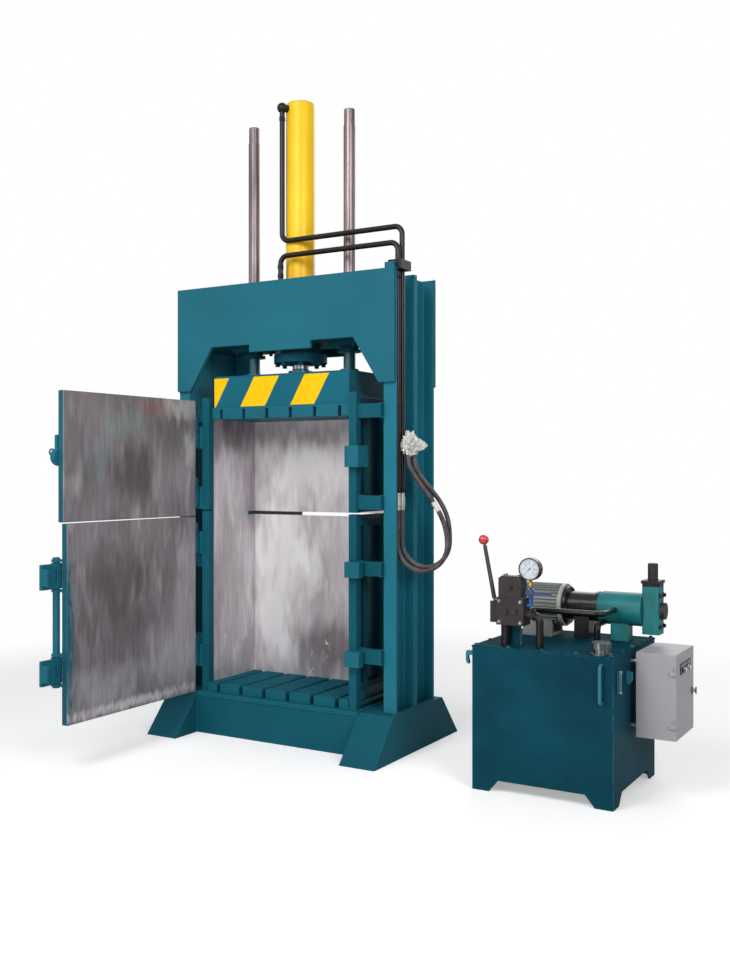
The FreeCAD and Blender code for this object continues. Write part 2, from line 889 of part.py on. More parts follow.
def port(x, y, z):
    away = vec(x, y - press_axis_y, 0)
    reach = away.Length
    away.normalize()
    start = vec(0, press_axis_y, z) + away * (barrel_radius - 6)
    boss = Part.makeCylinder(port_radius, reach - barrel_radius + 6, start, away)
    ball = Part.makeSphere(ball_radius, vec(x, y, z))
    cylinder_space = round_z(0, press_axis_y, z - 60, z + 60, barrel_radius)
    return joined([boss, ball]).cut(cylinder_space)


def ports():
    head_port = port(head_pipe_x, head_pipe_y, head_pipe_top)
    head_pipe_space = round_z(head_pipe_x, head_pipe_y, head_pipe_top - 60, head_pipe_top, pipe_radius)
    rod_port = port(rod_pipe_x, rod_pipe_y, rod_pipe_start)
    rod_pipe_space = round_z(rod_pipe_x, rod_pipe_y, rod_pipe_start, rod_pipe_start + 60, pipe_radius)
    return [head_port.cut(head_pipe_space), rod_port.cut(rod_pipe_space)]


def pipe_clamp():
    x0 = rod_pipe_drop_x - pipe_radius - clamp_margin
    x1 = head_pipe_drop_x + pipe_radius + clamp_ear
    y0 = -column_half_depth
    y1 = head_pipe_y + pipe_radius + clamp_margin / 2
    clamp = block(x0, x1, y0, y1, column_top, column_top + clamp_height)
    for x, y in ((head_pipe_drop_x, head_pipe_y), (rod_pipe_drop_x, rod_pipe_y)):
        clamp = clamp.cut(round_z(x, y, column_top - 1, column_top + clamp_height + 1, pipe_radius + running_gap))
    return clamp


def hose_fittings():
    fittings = []
    for x, y in ((head_pipe_drop_x, head_pipe_y), (rod_pipe_drop_x, rod_pipe_y)):
        profile = [
            (0, fitting_bottom),
            (fitting_radius - 2, fitting_bottom),
            (fitting_radius - 2, fitting_bottom + 16),
            (fitting_radius, fitting_bottom + 20),
            (fitting_radius, fitting_bottom + 58),
            (fitting_radius - 2, fitting_bottom + 62),
            (fitting_radius - 2, pipe_bottom),
            (0, pipe_bottom),
        ]
        fittings.append(turned(profile, x, y))
    save("hose_fittings", fittings)


# Places on the hoses, as distance along the loop, distance behind it, and height
front_hose_places = (
    (-4, 0, 1082), (2, -1, 1008), (46.6, -2, 941.8), (122, -3, 917.3), (197.4, -4, 941.8),
    (244, -5, 1006), (247, -6, 1085), (230, -7, 1165), (192, -7, 1245), (141, -7, 1318), (91, -6, 1387),
)
front_hose_end = (47, -6)
rear_hose_places = (
    (19, 27, 1090), (24.5, 30, 1022.1), (71.4, 31, 957.6), (147.2, 30, 932.9), (223.1, 28, 957.6),
    (270, 26, 1022.1), (274, 24, 1110), (263, 21, 1195), (225, 17, 1275), (169, 13, 1342), (115, 10, 1402),
)
rear_hose_end = (83, 8)


def loop_point(along, behind, height):
    x = rod_pipe_drop_x + along * math.cos(loop_direction) - behind * math.sin(loop_direction)
    y = rod_pipe_y + along * math.sin(loop_direction) + behind * math.cos(loop_direction)
    return vec(x, y, height)


def hose_route(x, y, places, end, last_run):
    start = vec(x, y, fitting_bottom)
    below = vec(x, y, fitting_bottom - hose_first_run)
    middle = [loop_point(*place) for place in places]
    return [start, below] + middle + [loop_point(*end, hose_end - last_run), loop_point(*end, hose_end)]


def hose(node, points):
    radii = []
    for before, here, after in zip(points, points[1:], points[2:]):
        run = min((here - before).Length, (after - here).Length)
        half_turn = (here - before).getAngle(after - here) / 2
        radii.append(0.45 * run / math.tan(half_turn))
    solid, length = tube(points, radii, hose_radius)
    section = math.pi * hose_radius ** 2
    print(node, "length", round(length), "volume ratio", round(solid.Volume / (section * length), 4))
    print(node, "radii", [round(radius) for radius in radii])
    print(node, "route", [tuple(round(value, 1) for value in point) for point in points])
    save(node, [solid])


def hose_wrap():
    centre = loop_point(wrap_along, 0, 0)
    inside = wrap_radius - wrap_skirt
    profile = [
        (0, hose_end),
        (inside, hose_end),
        (inside, wrap_bottom),
        (wrap_radius - 1, wrap_bottom),
        (wrap_radius, wrap_bottom + 24),
        (wrap_radius, wrap_bottom + 60),
        (wrap_radius * 0.5, wrap_top - 10),
        (0, wrap_top),
    ]
    bag = turned(profile, centre.x, centre.y)
    across = vec(math.cos(loop_direction), math.sin(loop_direction), 0)
    tip = Part.makeCone(26, 3, wrap_tip, vec(centre.x, centre.y, wrap_bottom + 48), across)
    hose_space = round_z(centre.x, centre.y, wrap_bottom - 1, hose_end, inside)
    save("hose_wrap", [joined([bag, tip]).cut(hose_space)])


def tank():
    body = block(tank_left, tank_right, tank_front, tank_rear, tank_bottom, tank_top - lid_thickness)
    feet = []
    reach = foot_reach
    for y0 in (tank_front, tank_rear - foot_plate):
        for x0, direction in ((tank_left, 1), (tank_right, -1)):
            outline = [
                (x0, tank_bottom),
                (x0, 0),
                (x0 + direction * reach, 0),
                (x0 + direction * (reach + foot_slope), tank_bottom),
            ]
            feet.append(sheet_xz(outline, y0, y0 + foot_plate))
    for x0 in (tank_left, tank_right - foot_plate):
        for y0, direction in ((tank_front, 1), (tank_rear, -1)):
            outline = [
                (y0, tank_bottom),
                (y0, 0),
                (y0 + direction * reach, 0),
                (y0 + direction * (reach + foot_slope), tank_bottom),
            ]
            feet.append(sheet_yz(outline, x0, x0 + foot_plate))
    save("tank", [joined([body] + feet)])
    lid = block(tank_left - lid_lip, tank_right + lid_lip, tank_front - lid_lip, tank_rear + lid_lip,
                tank_top - lid_thickness, tank_top)
    save("tank_lid", [lid])


def tank_handle():
    x = tank_right - handle_inset
    y = tank_front - handle_grip_gap
    low = tank_top - handle_top_drop - handle_height
    high = tank_top - handle_top_drop
    points = [vec(x, tank_front, low), vec(x, y, low), vec(x, y, high), vec(x, tank_front, high)]
    handle, length = tube(points, [handle_bend, handle_bend], handle_radius)
    print("handle length", round(length))
    return handle


def tank_hook():
    top = tank_top - hook_drop
    outline = [
        (0, 0), (-42, 0), (-46, -12), (-46, -46), (-38, -60), (-30, -60),
        (-30, -46), (-34, -38), (-34, -20), (-12, -20), (-12, -68), (0, -68),
    ]
    corners = [(tank_left + x, top + z) for x, z in outline]
    return sheet_xz(corners, tank_front + hook_inset, tank_front + hook_inset + hook_thickness)


def tank_lug():
    high = tank_top - lug_drop
    low = high - lug_depth
    tip = tank_right + lug_reach
    outline = [(tank_right, low), (tip - 12, low), (tip, low + 14), (tip, high), (tank_right, high)]
    return sheet_xz(outline, tank_front + lug_inset, tank_front + lug_inset + foot_plate)


def tank_fittings():
    level = block(tank_right, tank_right + level_depth,
                  tank_front + level_inset, tank_front + level_inset + level_width,
                  tank_top - level_drop - level_height, tank_top - level_drop)
    save("tank_fittings", [tank_handle(), tank_hook(), tank_lug(), level])


def motor():
    y = pump_axis_y
    z = pump_axis_z
    body = round_x(motor_left + 40, motor_right - motor_flange, y, z, motor_radius)
    cowl = round_x(motor_left, motor_left + 40, y, z, motor_radius + 2)
    cowl = cowl.makeFillet(14, [edge for edge in cowl.Edges if edge.BoundBox.XMax < motor_left + 1 and edge.Closed])
    flange = round_x(motor_right - motor_flange, motor_right, y, z, motor_flange_radius)
    foot = block(motor_left + 60, motor_right - 50, y - 80, y + 80, tank_top, tank_top + 14)
    left_leg = block(motor_left + 60, motor_right - 50, y - 74, y - 54, tank_top + 14, z - 40)
    right_leg = block(motor_left + 60, motor_right - 50, y + 54, y + 74, tank_top + 14, z - 40)
    save("motor", [joined([body, cowl, flange, foot, left_leg, right_leg])])


def bell_housing():
    y = pump_axis_y
    z = pump_axis_z
    flange = round_x(motor_right, motor_right + 16, y, z, bell_radius + 22)
    sleeve = round_x(motor_right + 16, bell_right - 14, y, z, bell_radius)
    ring = round_x(bell_right - 14, bell_right, y, z, bell_radius + 6)
    stand = block(motor_right + 50, bell_right - 40, y - 48, y + 48, tank_top, z - 30)
    window = block(motor_right + 66, bell_right - 56, y - 20, y + 20, tank_top + 14, z - 80)
    save("bell_housing", [joined([flange, sleeve, ring, stand]).cut(window)])


def pump():
    y = pump_axis_y
    z = pump_axis_z
    nose = round_x(bell_right, bell_right + 16, y, z, pump_radius - 8)
    body = round_x(bell_right + 16, pump_right, y, z, pump_radius)
    head_left = pump_right
    head_right = pump_right + head_width
    half = head_depth / 2
    head = block(head_left, head_right, y - half, y + half, z - 106, head_top - head_cap)
    head = head.makeFillet(8, [edge for edge in head.Edges if abs(edge.BoundBox.ZLength) > 100])
    cap = block(head_left - 3, head_right + 3, y - half - 3, y + half + 3, head_top - head_cap, head_top)
    foot = block(bell_right + 60, bell_right + 140, y - 40, y + 40, tank_top, z - 40)
    save("pump", [joined([nose, body, head, cap, foot])])
    middle = head_left + head_width / 2
    knob = round_z(middle, y, head_top, knob_top, knob_radius)
    knob = knob.makeChamfer(4, [top_edge(knob, knob_top)])
    end_cap = round_x(head_right, head_right + end_cap_length, y, z, end_cap_radius)
    save("pump_knobs", [knob, end_cap])


def valve():
    half_width = valve_width / 2
    half_depth = valve_depth / 2
    low = block(valve_x - half_width, valve_x + half_width, valve_y - half_depth, valve_y + half_depth,
                valve_bottom, valve_middle)
    inset = valve_cap_inset
    high = block(valve_x - half_width + inset, valve_x + half_width - 2 * inset,
                 valve_y - half_depth + inset, valve_y + half_depth - inset, valve_middle, valve_top)
    high = high.makeChamfer(10, [edge for edge in high.Edges if edge.BoundBox.ZMin > valve_top - 1])
    port_front = round_x(valve_x + half_width, valve_x + half_width + 26, valve_y, valve_bottom + 46, 17)
    fork_front = valve_y - fork_width / 2
    fork_rear = valve_y + fork_width / 2
    fork_left = lever_x - 18
    fork_right = valve_x - half_width
    base = block(fork_left, fork_right, fork_front, fork_rear, valve_bottom + 6, valve_bottom + 34)
    ears = []
    for y in (fork_front, fork_rear - fork_ear):
        ears.append(block(fork_left, fork_right, y, y + fork_ear, valve_bottom + 6, lever_z + 16))
    pin = round_y(lever_x, fork_front - 3, fork_rear + 3, lever_z, lever_pin_radius)
    save("control_valve", [joined([low, high, port_front, base, pin] + ears)])


def valve_lever():
    y = valve_y
    hub_half = fork_width / 2 - fork_ear - seat_gap
    hub = round_y(lever_x, y - hub_half, y + hub_half, lever_z, 13)
    bore = round_y(lever_x, y - hub_half - 1, y + hub_half + 1, lever_z, lever_pin_radius + running_gap)
    shaft = round_z(lever_x, y, lever_z, lever_z + lever_length, lever_radius)
    shaft.rotate(vec(lever_x, y, lever_z), vec(0, 1, 0), -lever_lean)
    lean = math.radians(lever_lean)
    tip = vec(lever_x - lever_length * math.sin(lean), y, lever_z + lever_length * math.cos(lean))
    save("valve_lever", [joined([hub, shaft]).cut(bore)])
    ball = Part.makeSphere(lever_ball_radius, tip)
    socket = round_z(lever_x, y, lever_z, lever_z + lever_length + seat_gap, lever_radius + seat_gap)
    socket.rotate(vec(lever_x, y, lever_z), vec(0, 1, 0), -lever_lean)
    save("lever_ball", [ball.cut(socket)])


def gauge():
    y = gauge_y
    case = round_y(gauge_x, y - gauge_depth / 2, y + gauge_depth / 2, gauge_z, gauge_radius)
    bezel = round_y(gauge_x, y - gauge_depth / 2 - 4, y - gauge_depth / 2, gauge_z, gauge_radius)
    recess = round_y(gauge_x, y - gauge_depth / 2 - 5, y - gauge_depth / 2, gauge_z, gauge_radius - 5)
    stem = round_z(gauge_x, y, gauge_valve_z + 16, gauge_z - gauge_radius + 3, 6)
    save("pressure_gauge", [joined([case, bezel.cut(recess), stem])])


def gauge_valve():
    y = gauge_y
    body = round_z(gauge_x, y, gauge_valve_z - 16, gauge_valve_z + 16, 15)
    collar = round_y(gauge_x, y - 26, y, gauge_valve_z, 9)
    pipe = round_z(gauge_x, y, valve_bottom + 88, gauge_valve_z - 16, 10)
    link = round_x(valve_x + valve_width / 2, gauge_x, y, valve_bottom + 88, 10)
    save("gauge_valve", [joined([body, collar, pipe, link])])
    handle_front = y - 26 - seat_gap - 7
    hub = round_y(gauge_x, handle_front, handle_front + 7, gauge_valve_z, 13)
    grip = block(gauge_x, gauge_x + 106, handle_front, handle_front + 6, gauge_valve_z - 8, gauge_valve_z + 8)
    save("gauge_valve_handle", [joined([hub, grip])])


def unit_pipes():
    post_x = valve_x - valve_width / 2 + 26
    post_pipe = round_z(post_x, valve_y, tank_top, valve_bottom, post_pipe_radius)
    return_points = [
        vec(valve_x + valve_width / 2 + 26, return_y + 30, return_elbow_z - 16),
        vec(return_x, return_y + 30, return_elbow_z - 16),
        vec(return_x, return_y + 30, tank_top),
    ]
    return_pipe, length = tube(return_points, [30], post_pipe_radius - 2)
    pressure_points = [
        vec(bell_right + 90, pump_axis_y - pump_radius + 2, pump_axis_z),
        vec(bell_right + 90, -230, pump_axis_z),
        vec(valve_x + 20, -230, pump_axis_z),
        vec(valve_x + 20, valve_y + valve_depth / 2, pump_axis_z),
    ]
    pressure_pipe, pressure_length = tube(pressure_points, [36, 36], 13)
    body_space = round_x(bell_right, pump_right, pump_axis_y, pump_axis_z, pump_radius)
    drain_points = [
        vec(bell_right + 30, -120, tank_top),
        vec(bell_right + 30, -120, tank_top + 84),
        vec(bell_right + 30, pump_axis_y - 30, tank_top + 84),
    ]
    drain_pipe, drain_length = tube(drain_points, [30], 15)
    print("unit pipes", round(length), round(pressure_length), round(drain_length))
    save("unit_pipes", [post_pipe, return_pipe, pressure_pipe.cut(body_space), drain_pipe.cut(body_space)])


def filler_cap():
    profile = [
        (0, tank_top),
        (filler_radius + 4, tank_top),
        (filler_radius + 4, tank_top + 6),
        (filler_radius - 8, tank_top + 8),
        (filler_radius - 8, tank_top + 24),
        (filler_radius, tank_top + 26),
        (filler_radius, tank_top + 50),
        (filler_radius - 5, tank_top + 55),
        (0, tank_top + 55),
    ]
    save("filler_cap", [turned(profile, filler_x, filler_y)])


def box_hinge(level):
    x = box_right + seat_gap + box_door_thickness / 2
    y = box_front - box_hinge_out
    low = level - box_hinge_length
    high = level + 0.5 + box_hinge_length
    outside = y - box_hinge_radius
    pad = block(box_right - box_hinge_leaf, box_right - 3, outside, box_front, low, level)
    leaf = block(box_right - 3, x, outside, y, low, level)
    fixed = round_z(x, y, low, level, box_hinge_radius)
    pin = round_z(x, y, low, high + 1, box_hinge_pin)
    moving = round_z(x, y, level + 0.5, high, box_hinge_radius)
    strap = block(x - 2, x + 2, y, box_front + 1, level + 0.5, high)
    bore = round_z(x, y, level, high + 1, box_hinge_pin + running_gap)
    return joined([pad, leaf, fixed, pin]), joined([moving, strap]).cut(bore)


def control_box():
    shell = block(box_left, box_right, box_front, box_rear, box_bottom, box_top)
    room = block(box_left + box_sheet, box_right + 1, box_front + box_sheet, box_rear - box_sheet,
                 box_bottom + box_sheet, box_top - box_sheet)
    levels = (box_bottom + box_hinge_margin, box_top - box_hinge_margin)
    hinge_pairs = [box_hinge(level) for level in levels]
    save("control_box", [joined([shell.cut(room)] + [pair[0] for pair in hinge_pairs])])
    standoffs = []
    for z in (box_bottom + 44, box_top - 44):
        for y in (box_front + 30, box_rear - 30):
            standoffs.append(round_x(tank_right, box_left, y, z, 9))
    save("control_box_standoffs", standoffs)
    door_x = box_right + seat_gap
    door = block(door_x, door_x + box_door_thickness, box_front, box_rear, box_bottom, box_top)
    panel_x = door_x + box_door_thickness
    knob_z = (box_bottom + box_top) / 2 - 12
    knob = round_x(panel_x, panel_x + 16, box_rear - 26, knob_z, 8)
    save("control_box_door", [joined([door, knob] + [pair[1] for pair in hinge_pairs])])
    panel_front = box_front + 68
    panel_top = box_top - 47
    panel = block(panel_x, panel_x + 3, panel_front, panel_front + 176, panel_top - 48, panel_top)
    buttons = [round_x(panel_x + 3, panel_x + 12, panel_front + along, panel_top - 31, 10) for along in (54, 124)]
    save("button_panel", [joined([panel] + buttons)])


os.makedirs("parts", exist_ok=True)
side_beams()
cross_beams()
floor_plate()
floor_ribs()
columns()
crosshead()
guide_sleeves()
cylinder()
chamber_posts()
chamber_walls()
chamber_ties()
chamber_stiffeners()
hinges()
upper_door()
lower_door()
upper_latch()
lock_bar()
lock_receivers()
platen()
pipes()
save("pipe_joints", ports() + [pipe_clamp()])
hose_fittings()
hose("front_hose", hose_route(rod_pipe_drop_x, rod_pipe_y, front_hose_places, front_hose_end, 70))
hose("rear_hose", hose_route(head_pipe_drop_x, head_pipe_y, rear_hose_places, rear_hose_end, 68))
hose_wrap()
tank()
tank_fittings()
motor()
bell_housing()
pump()
valve()
valve_lever()
gauge()
gauge_valve()
unit_pipes()
filler_cap()
control_box()
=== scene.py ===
import bpy
import bmesh
import math
from mathutils import Matrix, Vector, noise


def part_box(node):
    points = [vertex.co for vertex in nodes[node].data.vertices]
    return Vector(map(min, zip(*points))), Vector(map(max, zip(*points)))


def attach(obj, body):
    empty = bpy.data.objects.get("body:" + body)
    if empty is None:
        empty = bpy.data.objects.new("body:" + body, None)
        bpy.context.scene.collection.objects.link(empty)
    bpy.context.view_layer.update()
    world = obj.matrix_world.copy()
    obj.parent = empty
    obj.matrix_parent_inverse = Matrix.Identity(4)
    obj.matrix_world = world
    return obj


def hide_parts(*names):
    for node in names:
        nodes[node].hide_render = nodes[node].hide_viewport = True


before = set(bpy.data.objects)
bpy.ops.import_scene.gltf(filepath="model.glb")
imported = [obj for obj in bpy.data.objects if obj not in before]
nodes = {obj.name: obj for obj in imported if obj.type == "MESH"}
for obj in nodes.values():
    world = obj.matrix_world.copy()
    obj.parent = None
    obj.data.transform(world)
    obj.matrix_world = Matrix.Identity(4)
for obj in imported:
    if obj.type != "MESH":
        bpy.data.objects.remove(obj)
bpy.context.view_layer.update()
scene = bpy.context.scene
scene.view_settings.view_transform = "Standard"
print("baler loaded,", len(nodes), "pieces")


# Colours and materials

def linearColour(hexText):
    shares = [int(hexText[i:i + 2], 16) / 255 for i in (0, 2, 4)]
    return tuple(s / 12.92 if s <= 0.04045 else ((s + 0.055) / 1.055) ** 2.4 for s in shares) + (1.0,)


def addNode(tree, kind, settings=None, links=None):
    node = tree.nodes.new(kind)
    for key, value in (settings or {}).items():
        if isinstance(key, str) and key in node.bl_rna.properties:
            setattr(node, key, value)
        else:
            node.inputs[key].default_value = value
    for key, source in (links or {}).items():
        tree.links.new(source, node.inputs[key])
    return node


def newMaterial(name):
    material = bpy.data.materials.new(name)
    material.use_nodes = True
    tree = material.node_tree
    tree.nodes.clear()
    return material, tree


def blendColours(tree, factor, low, high, mode="MIX"):
    mix = addNode(tree, "ShaderNodeMix", {"data_type": "RGBA", "blend_type": mode})
    if isinstance(factor, float):
        mix.inputs[0].default_value = factor
    else:
        tree.links.new(factor, mix.inputs[0])
    for socket, value in ((mix.inputs[6], low), (mix.inputs[7], high)):
        if isinstance(value, str):
            socket.default_value = linearColour(value)
        else:
            tree.links.new(value, socket)
    return mix.outputs[2]


def rampOf(tree, source, low=0.0, high=1.0, bottom=0.0, top=1.0):
    ramp = addNode(tree, "ShaderNodeMapRange",
                   {"From Min": low, "From Max": high, "To Min": bottom, "To Max": top}, {"Value": source})
    return ramp.outputs["Result"]


def workOut(tree, kind, operation, terms):
    # each term is a number, a vector or the output of another node
    node = addNode(tree, kind, {"operation": operation})
    for i, term in enumerate(terms):
        if isinstance(term, bpy.types.NodeSocket):
            tree.links.new(term, node.inputs[i])
        else:
            node.inputs[i].default_value = term
    return node.outputs


def sumOf(tree, operation, *terms):
    return workOut(tree, "ShaderNodeMath", operation, terms)[0]


def vectorOf(tree, operation, *terms):
    return workOut(tree, "ShaderNodeVectorMath", operation, terms)[0]


def lengthOf(tree, *terms):
    # the length of one vector, or the dot product of two
    return workOut(tree, "ShaderNodeVectorMath", "DOT_PRODUCT" if len(terms) > 1 else "LENGTH", terms)["Value"]


def ownPlace(tree):
    return addNode(tree, "ShaderNodeTexCoord").outputs["Object"]


def shaderOf(tree):
    return next(node for node in tree.nodes if node.type == "BSDF_PRINCIPLED")


def stretchedPlace(tree, scale, turn=(0, 0, 0)):
    mapping = addNode(tree, "ShaderNodeMapping", {"Scale": scale, "Rotation": turn}, {"Vector": ownPlace(tree)})
    return mapping.outputs["Vector"]


def grainOf(tree, vector, scale, detail=2.0, distortion=0.0):
    grain = addNode(tree, "ShaderNodeTexNoise",
                    {"Scale": scale, "Detail": detail, "Distortion": distortion}, {"Vector": vector})
    return grain.outputs["Fac"]


def finishMaterial(tree, settings, links, bumpSource=None, bumpDepth=0.0):
    shader = addNode(tree, "ShaderNodeBsdfPrincipled", settings, links)
    if bumpSource is not None:
        bump = addNode(tree, "ShaderNodeBump", {"Strength": 1.0, "Distance": bumpDepth}, {"Height": bumpSource})
        tree.links.new(bump.outputs["Normal"], shader.inputs["Normal"])
    addNode(tree, "ShaderNodeOutputMaterial", links={"Surface": shader.outputs["BSDF"]})
    return shader


# Sprayed machine enamel: an even thick coat over rolled plate, faintly cloudy, thin and
# pale along every edge, partly worn and partly a painted highlight, with a soft sheen that is a little duller where
# dust sits
def sprayedEnamel(name, values):
    material, tree = newMaterial(name)
    even = stretchedPlace(tree, (1, 1, 1))
    cloud = grainOf(tree, even, values["cloud"], 3.0)
    colour = blendColours(tree, rampOf(tree, cloud, 0.3, 0.7), values["shade"], values["light"])
    runs = grainOf(tree, stretchedPlace(tree, (22, 22, 0.9)), 1.0, 3.0)
    colour = blendColours(tree, rampOf(tree, runs, 0.66, 1.05), colour, values["dust"])
    rounded = addNode(tree, "ShaderNodeBevel", {"samples": 4, "Radius": values.get("edge", 0.0022)})
    flat = addNode(tree, "ShaderNodeNewGeometry")
    facing = lengthOf(tree, rounded.outputs["Normal"], flat.outputs["Normal"])
    rub = grainOf(tree, even, 40.0, 4.0)
    # edges take the pale worn colour in patches: partly paint worn off the edges, partly a painted highlight where the
    # edges catch the light
    edge = rampOf(tree, facing, 0.995, 0.90)
    rubbedAndHighlightedEdge = sumOf(tree, "MULTIPLY", edge, rampOf(tree, rub, 0.35, 0.6))
    colour = blendColours(tree, rubbedAndHighlightedEdge, colour, values["worn"])
    gloss = rampOf(tree, cloud, 0.0, 1.0, *values["roughness"])
    peel = grainOf(tree, even, 180.0, 2.0)  # orange peel is nearer 2 mm, coarser here so it shows
    shader = finishMaterial(tree, {"IOR": 1.5, "Specular IOR Level": values.get("sheen", 0.5)},
                            {"Base Color": colour, "Roughness": gloss}, peel, 0.0004)
    bump = shader.inputs["Normal"].links[0].from_node
    tree.links.new(rounded.outputs["Normal"], bump.inputs["Normal"])
    return material


tealValues = {"cloud": 1.6, "shade": "175B6C", "light": "1D687A", "dust": "267183", "worn": "3C8795",
              "roughness": (0.42, 0.55), "sheen": 0.12}
tealEnamel = sprayedEnamel("teal machine enamel", tealValues)
dullEnamel = sprayedEnamel("teal enamel dulled by dust", {
    **tealValues, "shade": "165665", "light": "1B6373", "dust": "216A7A", "roughness": (0.62, 0.74), "sheen": 0.03})
# its pale worn edge colour is partly wear and partly a painted highlight along the tank's edges
tankEnamel = sprayedEnamel("deep teal tank enamel", {
    "cloud": 3.2, "shade": "093543", "light": "0F4858", "dust": "155264", "worn": "5FA6B2",
    "roughness": (0.42, 0.55), "sheen": 0.04, "edge": 0.0035})
# the darker shade, light and edge colours are painted shade on the doors and their front edges
shadedDoorEnamel = sprayedEnamel("teal door enamel darkened as painted shade", {
    **tealValues, "shade": "144F5E", "light": "195C6C", "worn": "1D6273", "edge": 0.0012})
# a darker teal as painted shade, for the base beams low down and for the posts and ties beside the door opening
shadedBaseEnamel = sprayedEnamel("teal base enamel darkened as painted shade", {
    **tealValues, "shade": "114D5C", "light": "175B6B", "dust": "1D6475", "sheen": 0.06})
# a lighter teal as painted light, mainly for the columns' right sides
litColumnEnamel = sprayedEnamel("teal column enamel lightened as painted light", {
    **tealValues, "shade": "1B687B", "light": "227689", "dust": "2B7E91"})
# a darker teal as painted shade, for the parts inside and under the head
shadedInnerEnamel = sprayedEnamel("teal enamel darkened as painted shade inside the head", {
    **tealValues, "shade": "0C3D4A", "light": "114A59", "dust": "165464", "worn": "24697A", "sheen": 0.05})
lidEnamel = sprayedEnamel("tank enamel dulled by dust", {
    "cloud": 4.0, "shade": "0B3946", "light": "0F4453", "dust": "144D5F", "worn": "3F8592",
    "roughness": (0.66, 0.78), "sheen": 0.02})
# a brighter teal with strong pale edges as painted highlights on the tank's handle
highlightedFittingEnamel = sprayedEnamel("teal enamel on bent bar with painted highlights", {
    **tealValues, "shade": "1B6272", "light": "2A7C8D", "worn": "7FC3CD", "edge": 0.004, "sheen": 0.3})
yellowEnamel = sprayedEnamel("yellow machine enamel", {
    "cloud": 3.0, "shade": "F6B60C", "light": "FCD21A", "dust": "FFDC48", "worn": "FFE784",
    "roughness": (0.24, 0.34), "sheen": 0.28})
pumpEnamel = sprayedEnamel("green pump enamel", {
    "cloud": 9.0, "shade": "17676B", "light": "257F81", "dust": "3A9492", "worn": "5DB5AB",
    "roughness": (0.34, 0.46), "sheen": 0.2})
motorEnamel = sprayedEnamel("grey motor enamel", {
    "cloud": 8.0, "shade": "6A7070", "light": "858B88", "dust": "9A9C96", "worn": "B4B5AE",
    "roughness": (0.4, 0.5), "edge": 0.001})
boxEnamel = sprayedEnamel("pale grey box enamel", {
    "cloud": 2.2, "shade": "9C9AA0", "light": "A6A4A9", "dust": "B0AEB2", "worn": "CFCDCE",
    "roughness": (0.4, 0.48), "sheen": 0.35})
blackEnamel = sprayedEnamel("black enamel", {
    "cloud": 9.0, "shade": "110E0F", "light": "1C1718", "dust": "262121", "worn": "4B4545",
    "roughness": (0.2, 0.32), "sheen": 0.26, "edge": 0.001})
castIron = sprayedEnamel("painted cast iron", {
    "cloud": 26.0, "shade": "1F1A1A", "light": "332C2B", "dust": "3D3532", "worn": "5A504B",
    "roughness": (0.42, 0.58), "sheen": 0.3, "edge": 0.0015})
blueEnamel = sprayedEnamel("blue valve enamel", {
    "cloud": 20.0, "shade": "1F4684", "light": "2C5CA2", "dust": "3F70B0", "worn": "6D97C8",
    "roughness": (0.3, 0.42), "edge": 0.001})


# The ram plate's front has yellow bars painted on the teal, so one material holds both
stripeValues = {"front": -0.2272, "lean": 0.585, "low": 1.7690, "high": 1.9255, "wobble": (0.006, -0.003),
                "bars": ((-0.575, -0.4215), (-0.2540, -0.0925), (0.0700, 0.2190))}


def stripedEnamel():
    material = sprayedEnamel("teal enamel with yellow bars", {**tealValues, "sheen": 0.05})
    tree = material.node_tree
    shader = shaderOf(tree)
    teal = shader.inputs["Base Color"].links[0].from_socket
    place = ownPlace(tree)
    axes = addNode(tree, "ShaderNodeSeparateXYZ", links={"Vector": place})
    rise = sumOf(tree, "SUBTRACT", axes.outputs["Z"], stripeValues["low"])
    slant = sumOf(tree, "MULTIPLY", rise, -stripeValues["lean"])
    wobble = sumOf(tree, "MULTIPLY_ADD", grainOf(tree, place, 14.0, 3.0), *stripeValues["wobble"])
    along = sumOf(tree, "ADD", sumOf(tree, "ADD", axes.outputs["X"], slant), wobble)
    inside = None
    for left, right in stripeValues["bars"]:
        bar = sumOf(tree, "MULTIPLY", sumOf(tree, "GREATER_THAN", along, left),
                    sumOf(tree, "LESS_THAN", along, right))
        inside = bar if inside is None else sumOf(tree, "MAXIMUM", inside, bar)
    for axis, test, limit in (("Y", "LESS_THAN", "front"), ("Z", "GREATER_THAN", "low"), ("Z", "LESS_THAN", "high")):
        inside = sumOf(tree, "MULTIPLY", inside, sumOf(tree, test, axes.outputs[axis], stripeValues[limit]))
    worn = grainOf(tree, place, 38.0, 5.0)
    paint = blendColours(tree, rampOf(tree, worn, 0.3, 0.75), "FBBC09", "FDC81E")
    tree.links.new(blendColours(tree, inside, teal, paint), shader.inputs["Base Color"])
    return material


stripedTeal = stripedEnamel()


# Bare plate ground and worn by bales: soft grey clouds under fine scratches, patches listed per plate, some wiped
# bright or stained dark and some painted highlight and painted shade, and a few curled scrapes low down
def patchMask(tree, place, spot):
    # strongest at the patch's middle, ragged towards its reach
    ragged = addNode(tree, "ShaderNodeTexNoise", {"Scale": 1.7 * spot["grain"], "Detail": 6.0},
                     {"Vector": stretchedPlace(tree, (1, 1, 0.3))})
    share = vectorOf(tree, "DIVIDE", vectorOf(tree, "SUBTRACT", place, spot["centre"]), spot["reach"])
    centred = vectorOf(tree, "SUBTRACT", ragged.outputs["Color"], (0.5, 0.5, 0.5))
    torn = vectorOf(tree, "MULTIPLY_ADD", centred, (2.2, 2.2, 2.2), share)
    return rampOf(tree, lengthOf(tree, torn), 1.15, 0.4, 0.0, spot["share"])


